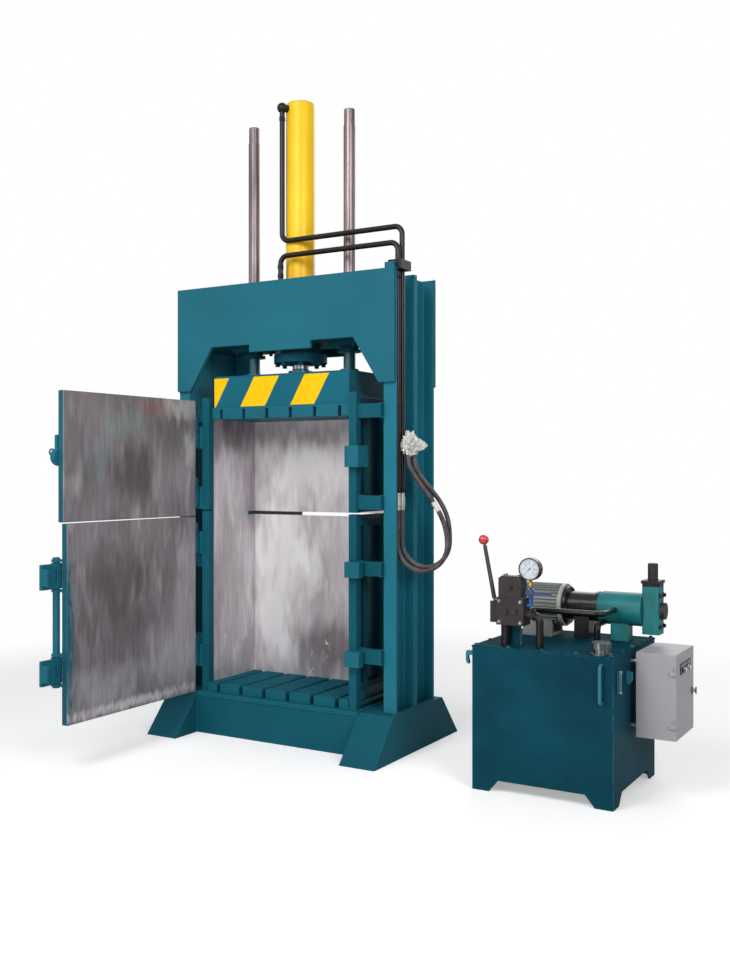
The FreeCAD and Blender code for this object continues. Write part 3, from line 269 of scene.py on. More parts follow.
def groundPlate(name, values):
    material, tree = newMaterial(name)
    place = ownPlace(tree)
    cloud = grainOf(tree, stretchedPlace(tree, values["cloud"]), 1.0, 6.0, 0.2)
    blot = grainOf(tree, stretchedPlace(tree, values["blot"]), 1.0, 6.0, 0.35)
    scratch = grainOf(tree, stretchedPlace(tree, values["scratch"], values["turn"]), 1.0, 5.0)
    sweep = grainOf(tree, stretchedPlace(tree, values["sweep"], values["slant"]), 1.0, 4.0, 0.4)
    curl = grainOf(tree, stretchedPlace(tree, (16, 16, 9)), 1.0, 1.5, 0.8)
    colour = blendColours(tree, rampOf(tree, cloud, 0.34, 0.66), values["dark"], values["mid"])
    colour = blendColours(tree, rampOf(tree, blot, 0.5, 0.8), colour, values["bright"])
    for spot in values["patches"]:
        colour = blendColours(tree, patchMask(tree, place, spot), colour, spot["colour"])
    near = sumOf(tree, "ABSOLUTE", sumOf(tree, "SUBTRACT", curl, 0.5))
    scrape = sumOf(tree, "MULTIPLY", rampOf(tree, near, 0.012, 0.003), rampOf(tree, blot, 0.5, 0.6))
    scrape = sumOf(tree, "MULTIPLY", scrape, maskOf(tree, (("Z", "LESS_THAN", values["scrapes"]),)))
    colour = blendColours(tree, scrape, colour, values["bright"])
    for source, least, most in ((scratch, 0.42, 0.58), (sweep, 0.43, 0.57)):
        colour = blendColours(tree, 1.0, colour, rampOf(tree, source, 0.25, 0.75, least, most), "OVERLAY")
    gloss = rampOf(tree, blot, 0.0, 1.0, 0.56, 0.34)
    shader = finishMaterial(tree, {"Metallic": values["metal"]}, {"Base Color": colour, "Roughness": gloss},
                            scratch, 0.0002)
    return material, tree, shader, colour


def maskOf(tree, tests):
    # 1 where every test on the object's own X, Y or Z holds
    axes = addNode(tree, "ShaderNodeSeparateXYZ", links={"Vector": ownPlace(tree)})
    inside = None
    for axis, test, limit in tests:
        value = axes.outputs[axis.strip("|")]
        if axis.startswith("|"):
            value = sumOf(tree, "ABSOLUTE", value)
        wall = sumOf(tree, test, value, limit)
        inside = wall if inside is None else sumOf(tree, "MULTIPLY", inside, wall)
    return inside


# The chamber's plates are bare inside and painted outside, which shows past the posts
def liningPlate(name, values, tests):
    material, tree, shader, bare = groundPlate(name, values)
    inside = maskOf(tree, tests)
    tree.links.new(blendColours(tree, inside, "1A5F70", bare), shader.inputs["Base Color"])
    tree.links.new(sumOf(tree, "MULTIPLY", inside, values["metal"]), shader.inputs["Metallic"])
    return material


def patch(centre, reach, colour, share, grain=8.0):
    return {"centre": centre, "reach": reach, "colour": colour, "share": share, "grain": grain}


sideSteel = liningPlate("ground side plate", {
    "cloud": (3.0, 3.0, 2.2), "blot": (14, 14, 4), "scratch": (170, 170, 9), "sweep": (26, 26, 3),
    "turn": (0.03, 0.02, 0), "slant": (0.12, 0, 0),
    "dark": "AAA2A7", "mid": "CCC6CA", "bright": "E0DCDE", "metal": 0.45, "scrapes": 0.52,
    # the first patch is painted shade under the platen; the second darkens the wall towards its rear corner
    "patches": (patch((-0.449, -0.05, 1.64), (9, 0.42, 0.14), "6E666A", 0.75),
                patch((-0.449, 0.16, 1.35), (9, 0.10, 0.30), "857C81", 0.6),
                patch((-0.449, -0.08, 0.72), (9, 0.20, 0.40), "A59DA2", 0.5))},
    (("|X", "LESS_THAN", 0.4485), ("Y", "LESS_THAN", 0.1640)))
rearSteel = liningPlate("ground rear plate", {
    "cloud": (2.6, 2.6, 2.0), "blot": (12, 12, 3.5), "scratch": (180, 180, 10), "sweep": (16, 16, 3.4),
    "turn": (0.02, 0.06, 0), "slant": (0, 0.25, 0),
    "dark": "B7B0B4", "mid": "DAD5D8", "bright": "F2F0F1", "metal": 0.65, "scrapes": 0.5,
    # these two pale patches are painted highlights where light falls on the lower rear wall
    "patches": (patch((-0.25, 0.165, 0.98), (0.26, 9, 0.32), "FBFAFB", 0.95),
                patch((-0.30, 0.165, 0.56), (0.17, 9, 0.30), "FAF9FA", 0.9),
                patch((0.12, 0.165, 0.44), (0.30, 9, 0.20), "7B7175", 0.9, 5.0),
                # painted shade under the platen along the top of the rear wall
                patch((-0.05, 0.165, 1.62), (0.5, 9, 0.09), "8F868A", 0.6),
                # painted highlight below that shade
                patch((-0.10, 0.165, 1.42), (0.34, 9, 0.20), "F2F0F2", 0.8))},
    (("Y", "LESS_THAN", 0.1655), ("Z", "GREATER_THAN", 0.1)))
doorSteel, _, _, _ = groundPlate("ground door plate", {
    "cloud": (3.4, 3.4, 2.6), "blot": (13, 13, 4), "scratch": (150, 150, 9), "sweep": (40, 40, 5),
    "turn": (0.05, 0.02, 0), "slant": (0.2, 0, 0),
    "dark": "756D71", "mid": "938C91", "bright": "B3ADB1", "metal": 0.4, "scrapes": 0.0,
    "patches": (patch((-0.54, -0.85, 1.67), (9, 0.14, 0.10), "93A5A3", 0.5),
                patch((-0.54, -1.01, 1.48), (9, 0.11, 0.14), "7E908F", 0.5),
                patch((-0.54, -0.63, 1.75), (9, 0.12, 0.045), "A06C6C", 0.5),
                patch((-0.54, -0.42, 1.76), (9, 0.15, 0.08), "CFCFD1", 0.7, 14.0),
                patch((-0.54, -0.76, 1.38), (9, 0.18, 0.17), "544A4D", 0.65),
                patch((-0.54, -0.94, 0.83), (9, 0.22, 0.22), "5C5154", 0.65),
                patch((-0.54, -0.37, 0.66), (9, 0.12, 0.42), "BCB3B9", 0.7),
                patch((-0.54, -1.00, 0.38), (9, 0.34, 0.12), "AFACB2", 0.7),
                patch((-0.54, -0.50, 0.46), (9, 0.22, 0.16), "BBB7BD", 0.7),
                patch((-0.54, -0.36, 1.55), (9, 0.06, 0.10), "D0D2D2", 0.6, 22.0),
                patch((-0.54, -1.24, 0.62), (9, 0.05, 0.46), "1D6375", 1.0, 30.0),
                patch((-0.54, -0.80, 0.262), (9, 0.60, 0.028), "D2CDD1", 0.9, 26.0),
                patch((-0.54, -0.295, 0.70), (9, 0.022, 0.50), "D6D0D4", 0.8, 30.0))})


# Drawn steel bar, oiled and browned: dark with a pale band where the light runs along it
def drawnBar(name, values):
    material, tree = newMaterial(name)
    along = grainOf(tree, stretchedPlace(tree, (90, 90, 2.5)), 1.0, 4.0)
    stains = grainOf(tree, stretchedPlace(tree, (6, 6, 1.6)), 1.0, 3.0)
    colour = blendColours(tree, rampOf(tree, along, 0.3, 0.7), values["dark"], values["light"])
    colour = blendColours(tree, rampOf(tree, stains, 0.52, 0.72), colour, values["stain"])
    gloss = rampOf(tree, stains, 0.0, 1.0, *values["roughness"])
    finishMaterial(tree, {"Metallic": values["metal"]}, {"Base Color": colour, "Roughness": gloss}, along, 0.0003)
    return material


guideSteel = drawnBar("oiled guide bar", {
    "dark": "5A4F50", "light": "8C8082", "stain": "493D3C", "roughness": (0.25, 0.42), "metal": 0.8})
pistonSteel = drawnBar("chromed piston bar", {
    "dark": "8E9A9C", "light": "B4BEC0", "stain": "75868A", "roughness": (0.28, 0.4), "metal": 0.9})
zincSteel = drawnBar("zinc plated fitting", {
    "dark": "9A9A98", "light": "C4C4C0", "stain": "A79F86", "roughness": (0.28, 0.42), "metal": 0.9})
brassMetal = drawnBar("turned brass", {
    "dark": "A98A3A", "light": "D2B25C", "stain": "8A6E2E", "roughness": (0.22, 0.36), "metal": 1.0})
capSteel = drawnBar("dark plated cap", {
    "dark": "3E4548", "light": "7C8588", "stain": "2C3235", "roughness": (0.2, 0.34), "metal": 0.9})
leverSteel = drawnBar("nickel plated lever", {
    "dark": "8E8E90", "light": "B9B9BC", "stain": "77777A", "roughness": (0.16, 0.28), "metal": 1.0})


# Braided hose with a smooth rubber cover, scuffed grey-brown, faint cloth marks round it
def coveredRubber(name, dark, light):
    material, tree = newMaterial(name)
    place = ownPlace(tree)
    scuff = grainOf(tree, place, 26.0, 5.0)
    marks = grainOf(tree, place, 220.0, 2.0)
    colour = blendColours(tree, rampOf(tree, scuff, 0.35, 0.7), dark, light)
    finishMaterial(tree, {"Roughness": 0.48, "IOR": 1.5}, {"Base Color": colour}, marks, 0.0006)
    return material


hoseRubber = coveredRubber("hose cover", "2B2427", "5B4F50")
labelPaper = coveredRubber("paper hose label", "D8D2C8", "ECE8E0")


# Moulded and cast plastics: one even colour with a soft sheen and tiny mould marks
def mouldedPlastic(name, colourHex, roughness, coat=0.0):
    material, tree = newMaterial(name)
    place = ownPlace(tree)
    grain = grainOf(tree, place, 320.0, 2.0)
    tint = grainOf(tree, place, 18.0, 2.0)
    dark = "%02X%02X%02X" % tuple(int(int(colourHex[i:i + 2], 16) * 0.88) for i in (0, 2, 4))
    colour = blendColours(tree, rampOf(tree, tint, 0.3, 0.7), dark, colourHex)
    finishMaterial(tree, {"Roughness": roughness, "IOR": 1.5, "Coat Weight": coat}, {"Base Color": colour},
                   grain, 0.0002)
    return material


redKnob = mouldedPlastic("red phenolic ball", "D0262C", 0.16, 0.6)
blackPlastic = mouldedPlastic("black moulded plastic", "1B1B1D", 0.34)
whitePlastic = mouldedPlastic("white moulded button", "EDEDEA", 0.3)
greyPlastic = mouldedPlastic("grey moulded strip", "8F9196", 0.4)
bluePlastic = mouldedPlastic("dipped blue grip", "20305A", 0.4)
dialPaper = mouldedPlastic("pale dial", "D9DEE8", 0.55)
filmPlastic = mouldedPlastic("crumpled white film", "DAD7D2", 0.26, 0.3)
gripRubber = mouldedPlastic("black lever sleeve", "2A282A", 0.42)


def clearGlass():
    material, tree = newMaterial("clear gauge glass")
    gloss = rampOf(tree, grainOf(tree, ownPlace(tree), 60.0, 3.0), 0.0, 1.0, 0.03, 0.12)
    finishMaterial(tree, {"Base Color": linearColour("F4F8F8"), "IOR": 1.45, "Alpha": 0.16}, {"Roughness": gloss})
    return material


gaugeGlass = clearGlass()


# Another colour past a level, for example a dipped cap, a pale flange, and painted shade with painted teal reflection
# on the rods' lower ends
def colourPast(material, tests, colourHex, metal=None):
    tree = material.node_tree
    shader = shaderOf(tree)
    inside = maskOf(tree, tests)
    own = shader.inputs["Base Color"].links[0].from_socket
    tree.links.new(blendColours(tree, inside, own, colourHex), shader.inputs["Base Color"])
    if metal is not None:
        duller = rampOf(tree, inside, 0.0, 1.0, shader.inputs["Metallic"].default_value, metal)
        tree.links.new(duller, shader.inputs["Metallic"])


# the guide rods' lower ends take teal as painted shade and painted teal reflection under the head
colourPast(guideSteel, (("|X", "GREATER_THAN", 0.27), ("|X", "LESS_THAN", 0.35), ("Z", "LESS_THAN", 2.09)),
           "16525F", 0.1)
# the piston rod's foot takes teal as painted shade and painted teal reflection above the platen
colourPast(pistonSteel, (("Z", "LESS_THAN", 1.975),), "1D5766", 0.3)
colourPast(pumpEnamel, (("Z", "GREATER_THAN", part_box("pump")[1][2] - 0.028),), "151213")
colourPast(motorEnamel, (("X", "GREATER_THAN", 1.470), ("Z", "GREATER_THAN", 0.70)), "A3A39B")

finishes = {
    "base_side_beams": shadedBaseEnamel, "base_cross_beams": shadedBaseEnamel, "floor_plate": dullEnamel,
    "floor_ribs": dullEnamel, "columns": litColumnEnamel, "crosshead_plates": tealEnamel,
    "crosshead_bearer": shadedInnerEnamel, "crosshead_ribs": shadedInnerEnamel, "guide_sleeves": shadedInnerEnamel,
    "cylinder_barrel": yellowEnamel, "cylinder_cap": yellowEnamel, "cylinder_gland": shadedInnerEnamel,
    "pipe_joints": blackEnamel, "chamber_side_walls": sideSteel, "chamber_rear_walls": rearSteel,
    "chamber_posts": shadedBaseEnamel, "chamber_ties": shadedBaseEnamel, "chamber_stiffeners": shadedInnerEnamel,
    "hinge_lugs": tealEnamel, "hinge_pins": guideSteel, "lock_receivers": tealEnamel,
    "pressure_pipes": blackEnamel, "hose_fittings": zincSteel, "front_hose": hoseRubber,
    "rear_hose": hoseRubber, "hose_wrap": filmPlastic, "tank": tankEnamel, "tank_lid": lidEnamel,
    "tank_fittings": highlightedFittingEnamel, "motor": motorEnamel, "bell_housing": blackEnamel, "pump": pumpEnamel,
    "pump_knobs": castIron, "control_valve": castIron, "pressure_gauge": blackEnamel,
    "gauge_valve": blueEnamel, "unit_pipes": blackEnamel, "filler_cap": capSteel,
    "control_box": boxEnamel, "control_box_standoffs": zincSteel, "platen_body": stripedTeal,
    "platen_shoe": tealEnamel, "platen_ribs": tealEnamel, "piston_rod": pistonSteel,
    "guide_rods": guideSteel, "upper_door_frame": shadedDoorEnamel, "upper_door_liner": doorSteel,
    "upper_latch": tealEnamel, "lower_door_frame": shadedDoorEnamel, "lower_door_liner": doorSteel,
    "lock_bearings": tealEnamel, "lock_bar": tealEnamel, "valve_lever": guideSteel, "lever_ball": redKnob,
    "gauge_valve_handle": bluePlastic, "control_box_door": boxEnamel, "button_panel": blackPlastic,
}


def dress(piece, material):
    piece.data.materials.clear()
    piece.data.materials.append(material)


for nodeName, material in finishes.items():
    if nodeName in nodes:
        dress(nodes[nodeName], material)
print("materials on", len(finishes), "pieces")


# Helpers that make a finished piece

def pieceFrom(name, mesh, material, body, smooth=False):
    piece = bpy.data.objects.new(name, mesh)
    scene.collection.objects.link(piece)
    dress(piece, material)
    if smooth:
        mesh.shade_smooth()
    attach(piece, body)
    return piece


def meshOf(work, name):
    bmesh.ops.remove_doubles(work, verts=work.verts, dist=1e-6)
    bmesh.ops.recalc_face_normals(work, faces=work.faces)
    mesh = bpy.data.meshes.new(name)
    work.to_mesh(mesh)
    work.free()
    return mesh


def turnedSolid(work, profile, place, axis, steps=32):
    # profile is (radius, distance along the axis), from one end of the solid to the other
    turn = Vector((0, 0, 1)).rotation_difference(Vector(axis)).to_matrix().to_4x4()
    turn = Matrix.Translation(place) @ turn
    rings = []
    for radius, height in profile:
        if radius < 1e-6:
            rings.append([work.verts.new(turn @ Vector((0, 0, height)))])
        else:
            rings.append([work.verts.new(turn @ Vector((radius * math.cos(a), radius * math.sin(a), height)))
                          for a in (2 * math.pi * i / steps for i in range(steps))])
    for low, high in zip(rings, rings[1:]):
        for i in range(steps):
            j = (i + 1) % steps
            corners = [low[i % len(low)], low[j % len(low)], high[j % len(high)], high[i % len(high)]]
            corners = list(dict.fromkeys(corners))
            if len(corners) > 2:
                work.faces.new(corners)
    return rings


def softBlock(work, low, high, bevel=0.002, segments=2):
    middle = (Vector(low) + Vector(high)) / 2
    size = Vector(high) - Vector(low)
    made = bmesh.ops.create_cube(work, size=1.0, matrix=Matrix.Translation(middle) @ Matrix.Diagonal(size).to_4x4())
    edges = list({edge for vert in made["verts"] for edge in vert.link_edges})
    bmesh.ops.bevel(work, geom=edges, offset=bevel, segments=segments, affect="EDGES", profile=0.6)


def bakeNodes(piece, tree, values):
    modifier = piece.modifiers.new("grow", "NODES")
    modifier.node_group = tree
    for item in tree.interface.items_tree:
        if item.in_out == "INPUT" and item.name in values:
            modifier[item.identifier] = values[item.name]
    grown = bpy.data.meshes.new_from_object(piece.evaluated_get(bpy.context.evaluated_depsgraph_get()))
    piece.modifiers.remove(modifier)
    return grown


def newNodeTree(name, inputs):
    tree = bpy.data.node_groups.new(name, "GeometryNodeTree")
    tree.interface.new_socket("Geometry", in_out="INPUT", socket_type="NodeSocketGeometry")
    for label, kind, value in inputs:
        socket = tree.interface.new_socket(label, in_out="INPUT", socket_type=kind)
        socket.default_value = value
    tree.interface.new_socket("Geometry", in_out="OUTPUT", socket_type="NodeSocketGeometry")
    return tree, addNode(tree, "NodeGroupInput").outputs


# Hex bolts: a head with a washer stands on each point, along the point's own direction
def realizeAndPaint(tree, placed):
    real = addNode(tree, "GeometryNodeRealizeInstances", links={"Geometry": placed.outputs[0]})
    painted = addNode(tree, "GeometryNodeSetMaterial", links={"Geometry": real.outputs[0]})
    addNode(tree, "NodeGroupOutput", links={0: painted.outputs[0]})
    return painted


def hexBoltTree():
    tree, given = newNodeTree("hex bolts", [
        ("Head Radius", "NodeSocketFloat", 0.012), ("Head Height", "NodeSocketFloat", 0.01),
        ("Washer Radius", "NodeSocketFloat", 0.015), ("Washer Height", "NodeSocketFloat", 0.003)])
    halfWasher = sumOf(tree, "MULTIPLY", given["Washer Height"], 0.5)
    halfHead = sumOf(tree, "MULTIPLY_ADD", given["Head Height"], 0.5, given["Washer Height"])
    both = addNode(tree, "GeometryNodeJoinGeometry")
    for part, sides, level in (("Washer", 20, halfWasher), ("Head", 6, halfHead)):
        disc = addNode(tree, "GeometryNodeMeshCylinder", {"Vertices": sides},
                       {"Radius": given[part + " Radius"], "Depth": given[part + " Height"]})
        shift = addNode(tree, "ShaderNodeCombineXYZ", links={"Z": level})
        raised = addNode(tree, "GeometryNodeTransform", links={
            "Geometry": disc.outputs["Mesh"], "Translation": shift.outputs[0]})
        tree.links.new(raised.outputs[0], both.inputs[0])
    way = addNode(tree, "GeometryNodeInputNamedAttribute", {"data_type": "FLOAT_VECTOR", "Name": "way"})
    turn = addNode(tree, "FunctionNodeAlignRotationToVector", {"axis": "Z"},
                   {"Vector": way.outputs["Attribute"]})
    placed = addNode(tree, "GeometryNodeInstanceOnPoints", links={
        "Points": given["Geometry"], "Instance": both.outputs[0], "Rotation": turn.outputs[0]})
    return tree, realizeAndPaint(tree, placed)


boltTree, boltPaint = hexBoltTree()


def grownPiece(name, seeds, tree, paint, material, body, values, smooth=False):
    holder = bpy.data.objects.new(seeds.name, seeds)
    scene.collection.objects.link(holder)
    paint.inputs["Material"].default_value = material
    grown = bakeNodes(holder, tree, values)
    bpy.data.objects.remove(holder)
    return pieceFrom(name, grown, material, body, smooth)


def boltPiece(name, places, material, body, values):
    seeds = bpy.data.meshes.new(name + "Seeds")
    seeds.from_pydata([place for place, way in places], [], [])
    ways = seeds.attributes.new("way", "FLOAT_VECTOR", "POINT")
    for i, (place, way) in enumerate(places):
        ways.data[i].vector = way
    return grownPiece(name, seeds, boltTree, boltPaint, material, body, values)


def boltSizes(*sizes):
    return dict(zip(("Head Radius", "Head Height", "Washer Radius", "Washer Height"), sizes))


# Weld beads: small overlapping ripples along each seam
def weldTree():
    tree, given = newNodeTree("weld beads", [
        ("Pitch", "NodeSocketFloat", 0.006), ("Bead", "NodeSocketFloat", 0.005)])
    line = addNode(tree, "GeometryNodeMeshToCurve", links={"Mesh": given["Geometry"]})
    spots = addNode(tree, "GeometryNodeCurveToPoints", {"mode": "LENGTH"},
                    {"Curve": line.outputs[0], "Length": given["Pitch"]})
    ball = addNode(tree, "GeometryNodeMeshIcoSphere", {"Subdivisions": 1}, {"Radius": given["Bead"]})
    size = addNode(tree, "FunctionNodeRandomValue", {"data_type": "FLOAT"})
    size.inputs[2].default_value = 0.75
    size.inputs[3].default_value = 1.15
    size.inputs["Seed"].default_value = 7
    spin = addNode(tree, "FunctionNodeRandomValue", {"data_type": "FLOAT_VECTOR"})
    spin.inputs[1].default_value = (6.28, 6.28, 6.28)
    spin.inputs["Seed"].default_value = 11
    placed = addNode(tree, "GeometryNodeInstanceOnPoints", links={
        "Points": spots.outputs["Points"], "Instance": ball.outputs[0], "Rotation": spin.outputs[0],
        "Scale": size.outputs[1]})
    return tree, realizeAndPaint(tree, placed)


beadTree, beadPaint = weldTree()


def weldPiece(name, seams, material, body, values):
    mesh = bpy.data.meshes.new(name + "Seams")
    points, edges = [], []
    for seam in seams:
        start = len(points)
        points += seam
        edges += [(start + i, start + i + 1) for i in range(len(seam) - 1)]
    mesh.from_pydata(points, edges, [])
    return grownPiece(name, mesh, beadTree, beadPaint, material, body, values, smooth=True)


def ringOf(centre, radius, count, way, start=0.0):
    side = Vector(way).orthogonal().normalized()
    other = Vector(way).cross(side)
    places = []
    for i in range(count):
        angle = start + 2 * math.pi * i / count
        offset = side * (radius * math.cos(angle)) + other * (radius * math.sin(angle))
        places.append((tuple(Vector(centre) + offset), way))
    return places


# Camera at the photograph's viewing angle

cameraValues = {"lens": 39.39, "place": (3.2253, -4.8235, 1.42), "turn": 30.449, "shift": -0.01534}
cameraData = bpy.data.cameras.new("camera")
cameraData.lens = cameraValues["lens"]
cameraData.shift_y = cameraValues["shift"]
cameraData.clip_end = 100
camera = bpy.data.objects.new("camera", cameraData)
camera.location = cameraValues["place"]
camera.rotation_euler = (math.radians(90), 0, math.radians(cameraValues["turn"]))
scene.collection.objects.link(camera)
scene.camera = camera


# Hoses hang in a loop from the two fittings and come back up to the wrapped ends
hoseValues = {
    "diameter": 0.024,
    "frontHose": [(672.0, -155.0, 1228.0), (672.0, -155.0, 1156.0), (668.6, -157.0, 1082.0),
                  (674.2, -154.8, 1008.0), (713.2, -133.1, 941.8), (778.7, -95.8, 917.3),
                  (844.2, -58.4, 941.8), (884.9, -35.7, 1006.0), (888.0, -35.0, 1085.0),
                  (873.8, -44.5, 1165.0), (841.1, -63.7, 1245.0), (797.1, -89.6, 1318.0),
                  (753.5, -114.1, 1387.0), (715.6, -136.4, 1460.0), (715.6, -136.4, 1530.0)],
    "rearHose": [(678.0, -122.0, 1228.0), (678.0, -122.0, 1156.0), (674.7, -122.1, 1090.0),
                 (677.9, -116.7, 1022.1), (717.8, -92.1, 957.6), (780.7, -54.5, 932.9),
                 (841.1, -17.8, 957.6), (879.6, 3.2, 1022.1), (883.0, 3.5, 1110.0),
                 (874.1, -4.6, 1195.0), (842.4, -27.3, 1275.0), (797.1, -59.1, 1342.0),
                 (757.1, -88.6, 1402.0), (737.5, -106.0, 1462.0), (739.5, -106.0, 1530.0)],
    "length": {"frontHose": 1.104, "rearHose": 1.078},
    "label": (1.222, 1.270),
}


def hoseCurve(name, route):
    curve = bpy.data.curves.new(name, "CURVE")
    curve.dimensions = "3D"
    spline = curve.splines.new("NURBS")
    spline.points.add(len(route) - 1)
    for point, place in zip(spline.points, route):
        point.co = (*(v / 1000 for v in place), 1)
    spline.order_u = 3
    spline.use_endpoint_u = True
    piece = bpy.data.objects.new(name, curve)
    scene.collection.objects.link(piece)
    return piece


def hangingHose(name, node, withPieces):
    route = hoseValues[name]
    piece = hoseCurve(name, route)
    piece.data.bevel_depth = hoseValues["diameter"] / 2
    piece.data.bevel_resolution = 5
    piece.data.resolution_u = 12
    piece.data.use_fill_caps = True
    dress(piece, hoseRubber)
    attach(piece, "press")
    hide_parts(node)
    return piece


# Film wrapped round the loose hose ends: a crumpled bag with a twisted tip

wrapValues = {"centre": (0.724, -0.124, 1.556), "reach": (0.056, 0.050, 0.066), "room": 0.014,
              "tips": (((0.86, 0.5, -0.05), 0.066, 0.62), ((-0.30, 0.05, 1.0), 0.034, 0.34),
                       ((0.35, -0.1, 0.95), 0.026, 0.30), ((-0.95, -0.3, 0.35), 0.022, 0.32),
                       ((-0.9, -0.3, -0.4), 0.020, 0.32))}


def crumpledWrap():
    low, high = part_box("hose_wrap")
    work = bmesh.new()
    centre = Vector(wrapValues["centre"])
    room = wrapValues["room"]
    bmesh.ops.create_icosphere(work, subdivisions=5, radius=1.0)
    for vert in work.verts:
        direction = vert.co.normalized()
        fold = 1 - 2 * abs(noise.noise(direction * 2.1 + Vector((3, 1, 5))))
        crease = 1 - 2 * abs(noise.noise(direction * 4.7 + Vector((9, 2, 7))))
        crumple = 1 - 2 * abs(noise.noise(direction * 10.5 + Vector((1, 8, 4))))
        swell = 0.50 + 0.22 * fold + 0.19 * crease + 0.10 * crumple
        vert.co = centre + Vector([direction[i] * wrapValues["reach"][i] for i in range(3)]) * swell
        for way, length, spread in wrapValues["tips"]:
            way = Vector(way).normalized()
            point = max(0.0, 1 - direction.angle(way) / spread)
            vert.co += way * length * point ** 1.2
    for vert in work.verts:
        vert.co = Vector([min(max(vert.co[i], low[i] - room), high[i] + room) for i in range(3)])
    piece = pieceFrom("crumpledWrap", meshOf(work, "crumpledWrap"), filmPlastic, "press")
    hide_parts("hose_wrap")
    return piece


def hoseFerrule(name):
    x, y, z = (v / 1000 for v in hoseValues[name][-1])
    work = bmesh.new()
    turnedSolid(work, [(0, 0), (0.0135, 0), (0.0148, 0.002), (0.0148, 0.012), (0.0138, 0.0135), (0.0148, 0.015),
                       (0.0148, 0.025), (0.0135, 0.027), (0, 0.027)], (x, y, z - 0.026), (0, 0, 1), 24)
    return pieceFrom(name + "Ferrule", meshOf(work, name + "Ferrule"), zincSteel, "press")


# The points that the hose's own line goes through
def hoseLine(name):
    holder = hoseCurve(name + "Line", hoseValues[name])
    holder.data.resolution_u = 24
    mesh = bpy.data.meshes.new_from_object(holder.evaluated_get(bpy.context.evaluated_depsgraph_get()))
    line = [vert.co.copy() for vert in mesh.vertices]
    bpy.data.objects.remove(holder)
    return line


def hoseLabel():
    low, high = hoseValues["label"]
    line = [place for place in hoseLine("frontHose") if low < place.z < high and place.x > 0.8]
    work = bmesh.new()
    rings = []
    for i, place in enumerate(line):
        along = (line[min(i + 1, len(line) - 1)] - line[max(i - 1, 0)]).normalized()
        side = along.cross(Vector((0, 1, 0))).normalized()
        other = along.cross(side)
        rings.append([work.verts.new(place + 0.0126 * (side * math.cos(turn) + other * math.sin(turn)))
                      for turn in (2 * math.pi * k / 20 for k in range(20))])
    for low, high in zip(rings, rings[1:]):
        for k in range(20):
            work.faces.new([low[k], low[(k + 1) % 20], high[(k + 1) % 20], high[k]])
    work.faces.new(rings[0][::-1])
    work.faces.new(rings[-1])
    return pieceFrom("hoseLabel", meshOf(work, "hoseLabel"), labelPaper, "press", smooth=True)


wrapPiece = crumpledWrap()
hangingHose("frontHose", "front_hose", [hoseFerrule("frontHose"), wrapPiece, hoseLabel()])
hangingHose("rearHose", "rear_hose", [hoseFerrule("rearHose")])
print("hoses hung")


# Bolts of the press

pressBolts = {
    "gland": {"centre": (0, -0.025, 2.003), "radius": 0.124, "count": 8,
              "bolt": boltSizes(0.0135, 0.014, 0.017, 0.003)},
    "sleeve": {"x": 0.31, "y": -0.025, "z": 2.078, "spread": 0.066,
               "bolt": boltSizes(0.0105, 0.011, 0.0135, 0.0025)},
}


def pressBoltPieces():
    gland = pressBolts["gland"]
    boltPiece("glandBolts", ringOf(gland["centre"], gland["radius"], gland["count"], (0, 0, -1), 0.2),
              shadedInnerEnamel, "press", gland["bolt"])
    sleeve = pressBolts["sleeve"]
    places = [((side * sleeve["x"] + dx * sleeve["spread"], sleeve["y"] + dy * sleeve["spread"], sleeve["z"]),
               (0, 0, -1)) for side in (-1, 1) for dx in (-1, 1) for dy in (-1, 1)]
    boltPiece("sleeveBolts", places, shadedInnerEnamel, "press", sleeve["bolt"])


pressBoltPieces()


# Weld seams of the frame and the chamber

weldValues = {
    "frame": {"Pitch": 0.007, "Bead": 0.0045}, "lining": {"Pitch": 0.009, "Bead": 0.005},
    "ties": (0.495, 0.934, 1.265, 1.725), "tieHalf": 0.035, "tieEnds": (0.490, 0.620),
    "pairs": (((0.620, -0.2085, 0.2205), (0.690, -0.2085, 0.2205)), ((0.690, -0.2085, 0.2205), (0.690, -0.002, 0.2205)),
              ((0.690, 0.002, 0.2205), (0.690, 0.2085, 0.2205)), ((0.511, -0.2825, 0.200), (0.511, -0.2825, 0.225)),
              ((0.511, -0.2775, 0.008), (0.511, -0.2775, 0.2)), ((0.6905, -0.2085, 1.865), (0.6905, -0.2085, 2.43)),
              ((0.6905, 0.2085, 1.865), (0.6905, 0.2085, 2.43)), ((0.490, -0.257, 0.2255), (0.446, -0.257, 0.2255))),
}


def frameWelds():
    seams = []
    half = weldValues["tieHalf"]
    for side in (-1, 1):
        for z in weldValues["ties"]:
            for x in weldValues["tieEnds"]:
                for edge in (z - half, z + half):
                    seams.append([(side * x, -0.2395, edge), (side * x, -0.19, edge)])
                seams.append([(side * x, -0.2405, z - half), (side * x, -0.2405, z + half)])
        for pair in weldValues["pairs"]:
            seams.append([(side * x, y, z) for x, y, z in pair])
    weldPiece("frameWelds", seams, tealEnamel, "press", weldValues["frame"])


frameWelds()


def liningWelds():
    seams = [
        [(x, 0.1625, low), (x, 0.1625, high)]
        for x, low, high in ((-0.446, 0.28, 1.17), (-0.446, 1.2, 1.69), (0.446, 0.28, 1.17), (0.446, 1.215, 1.69))]
    weldPiece("liningWelds", seams, sideSteel, "press", weldValues["lining"])


liningWelds()
print("bolts and welds placed")


# Power unit: bolts, fins, dial, buttons and caps

unitValues = {
    "lid": boltSizes(0.008, 0.007, 0.011, 0.002), "bell": boltSizes(0.006, 0.005, 0.008, 0.0015),
    "flange": boltSizes(0.009, 0.009, 0.012, 0.002), "lidTop": 0.643, "lidX": (1.236, 1.853),
    "lidY": (-0.455, 0.152), "shaftY": 0.02, "shaftZ": 0.788, "motorMiddle": 1.375,
}


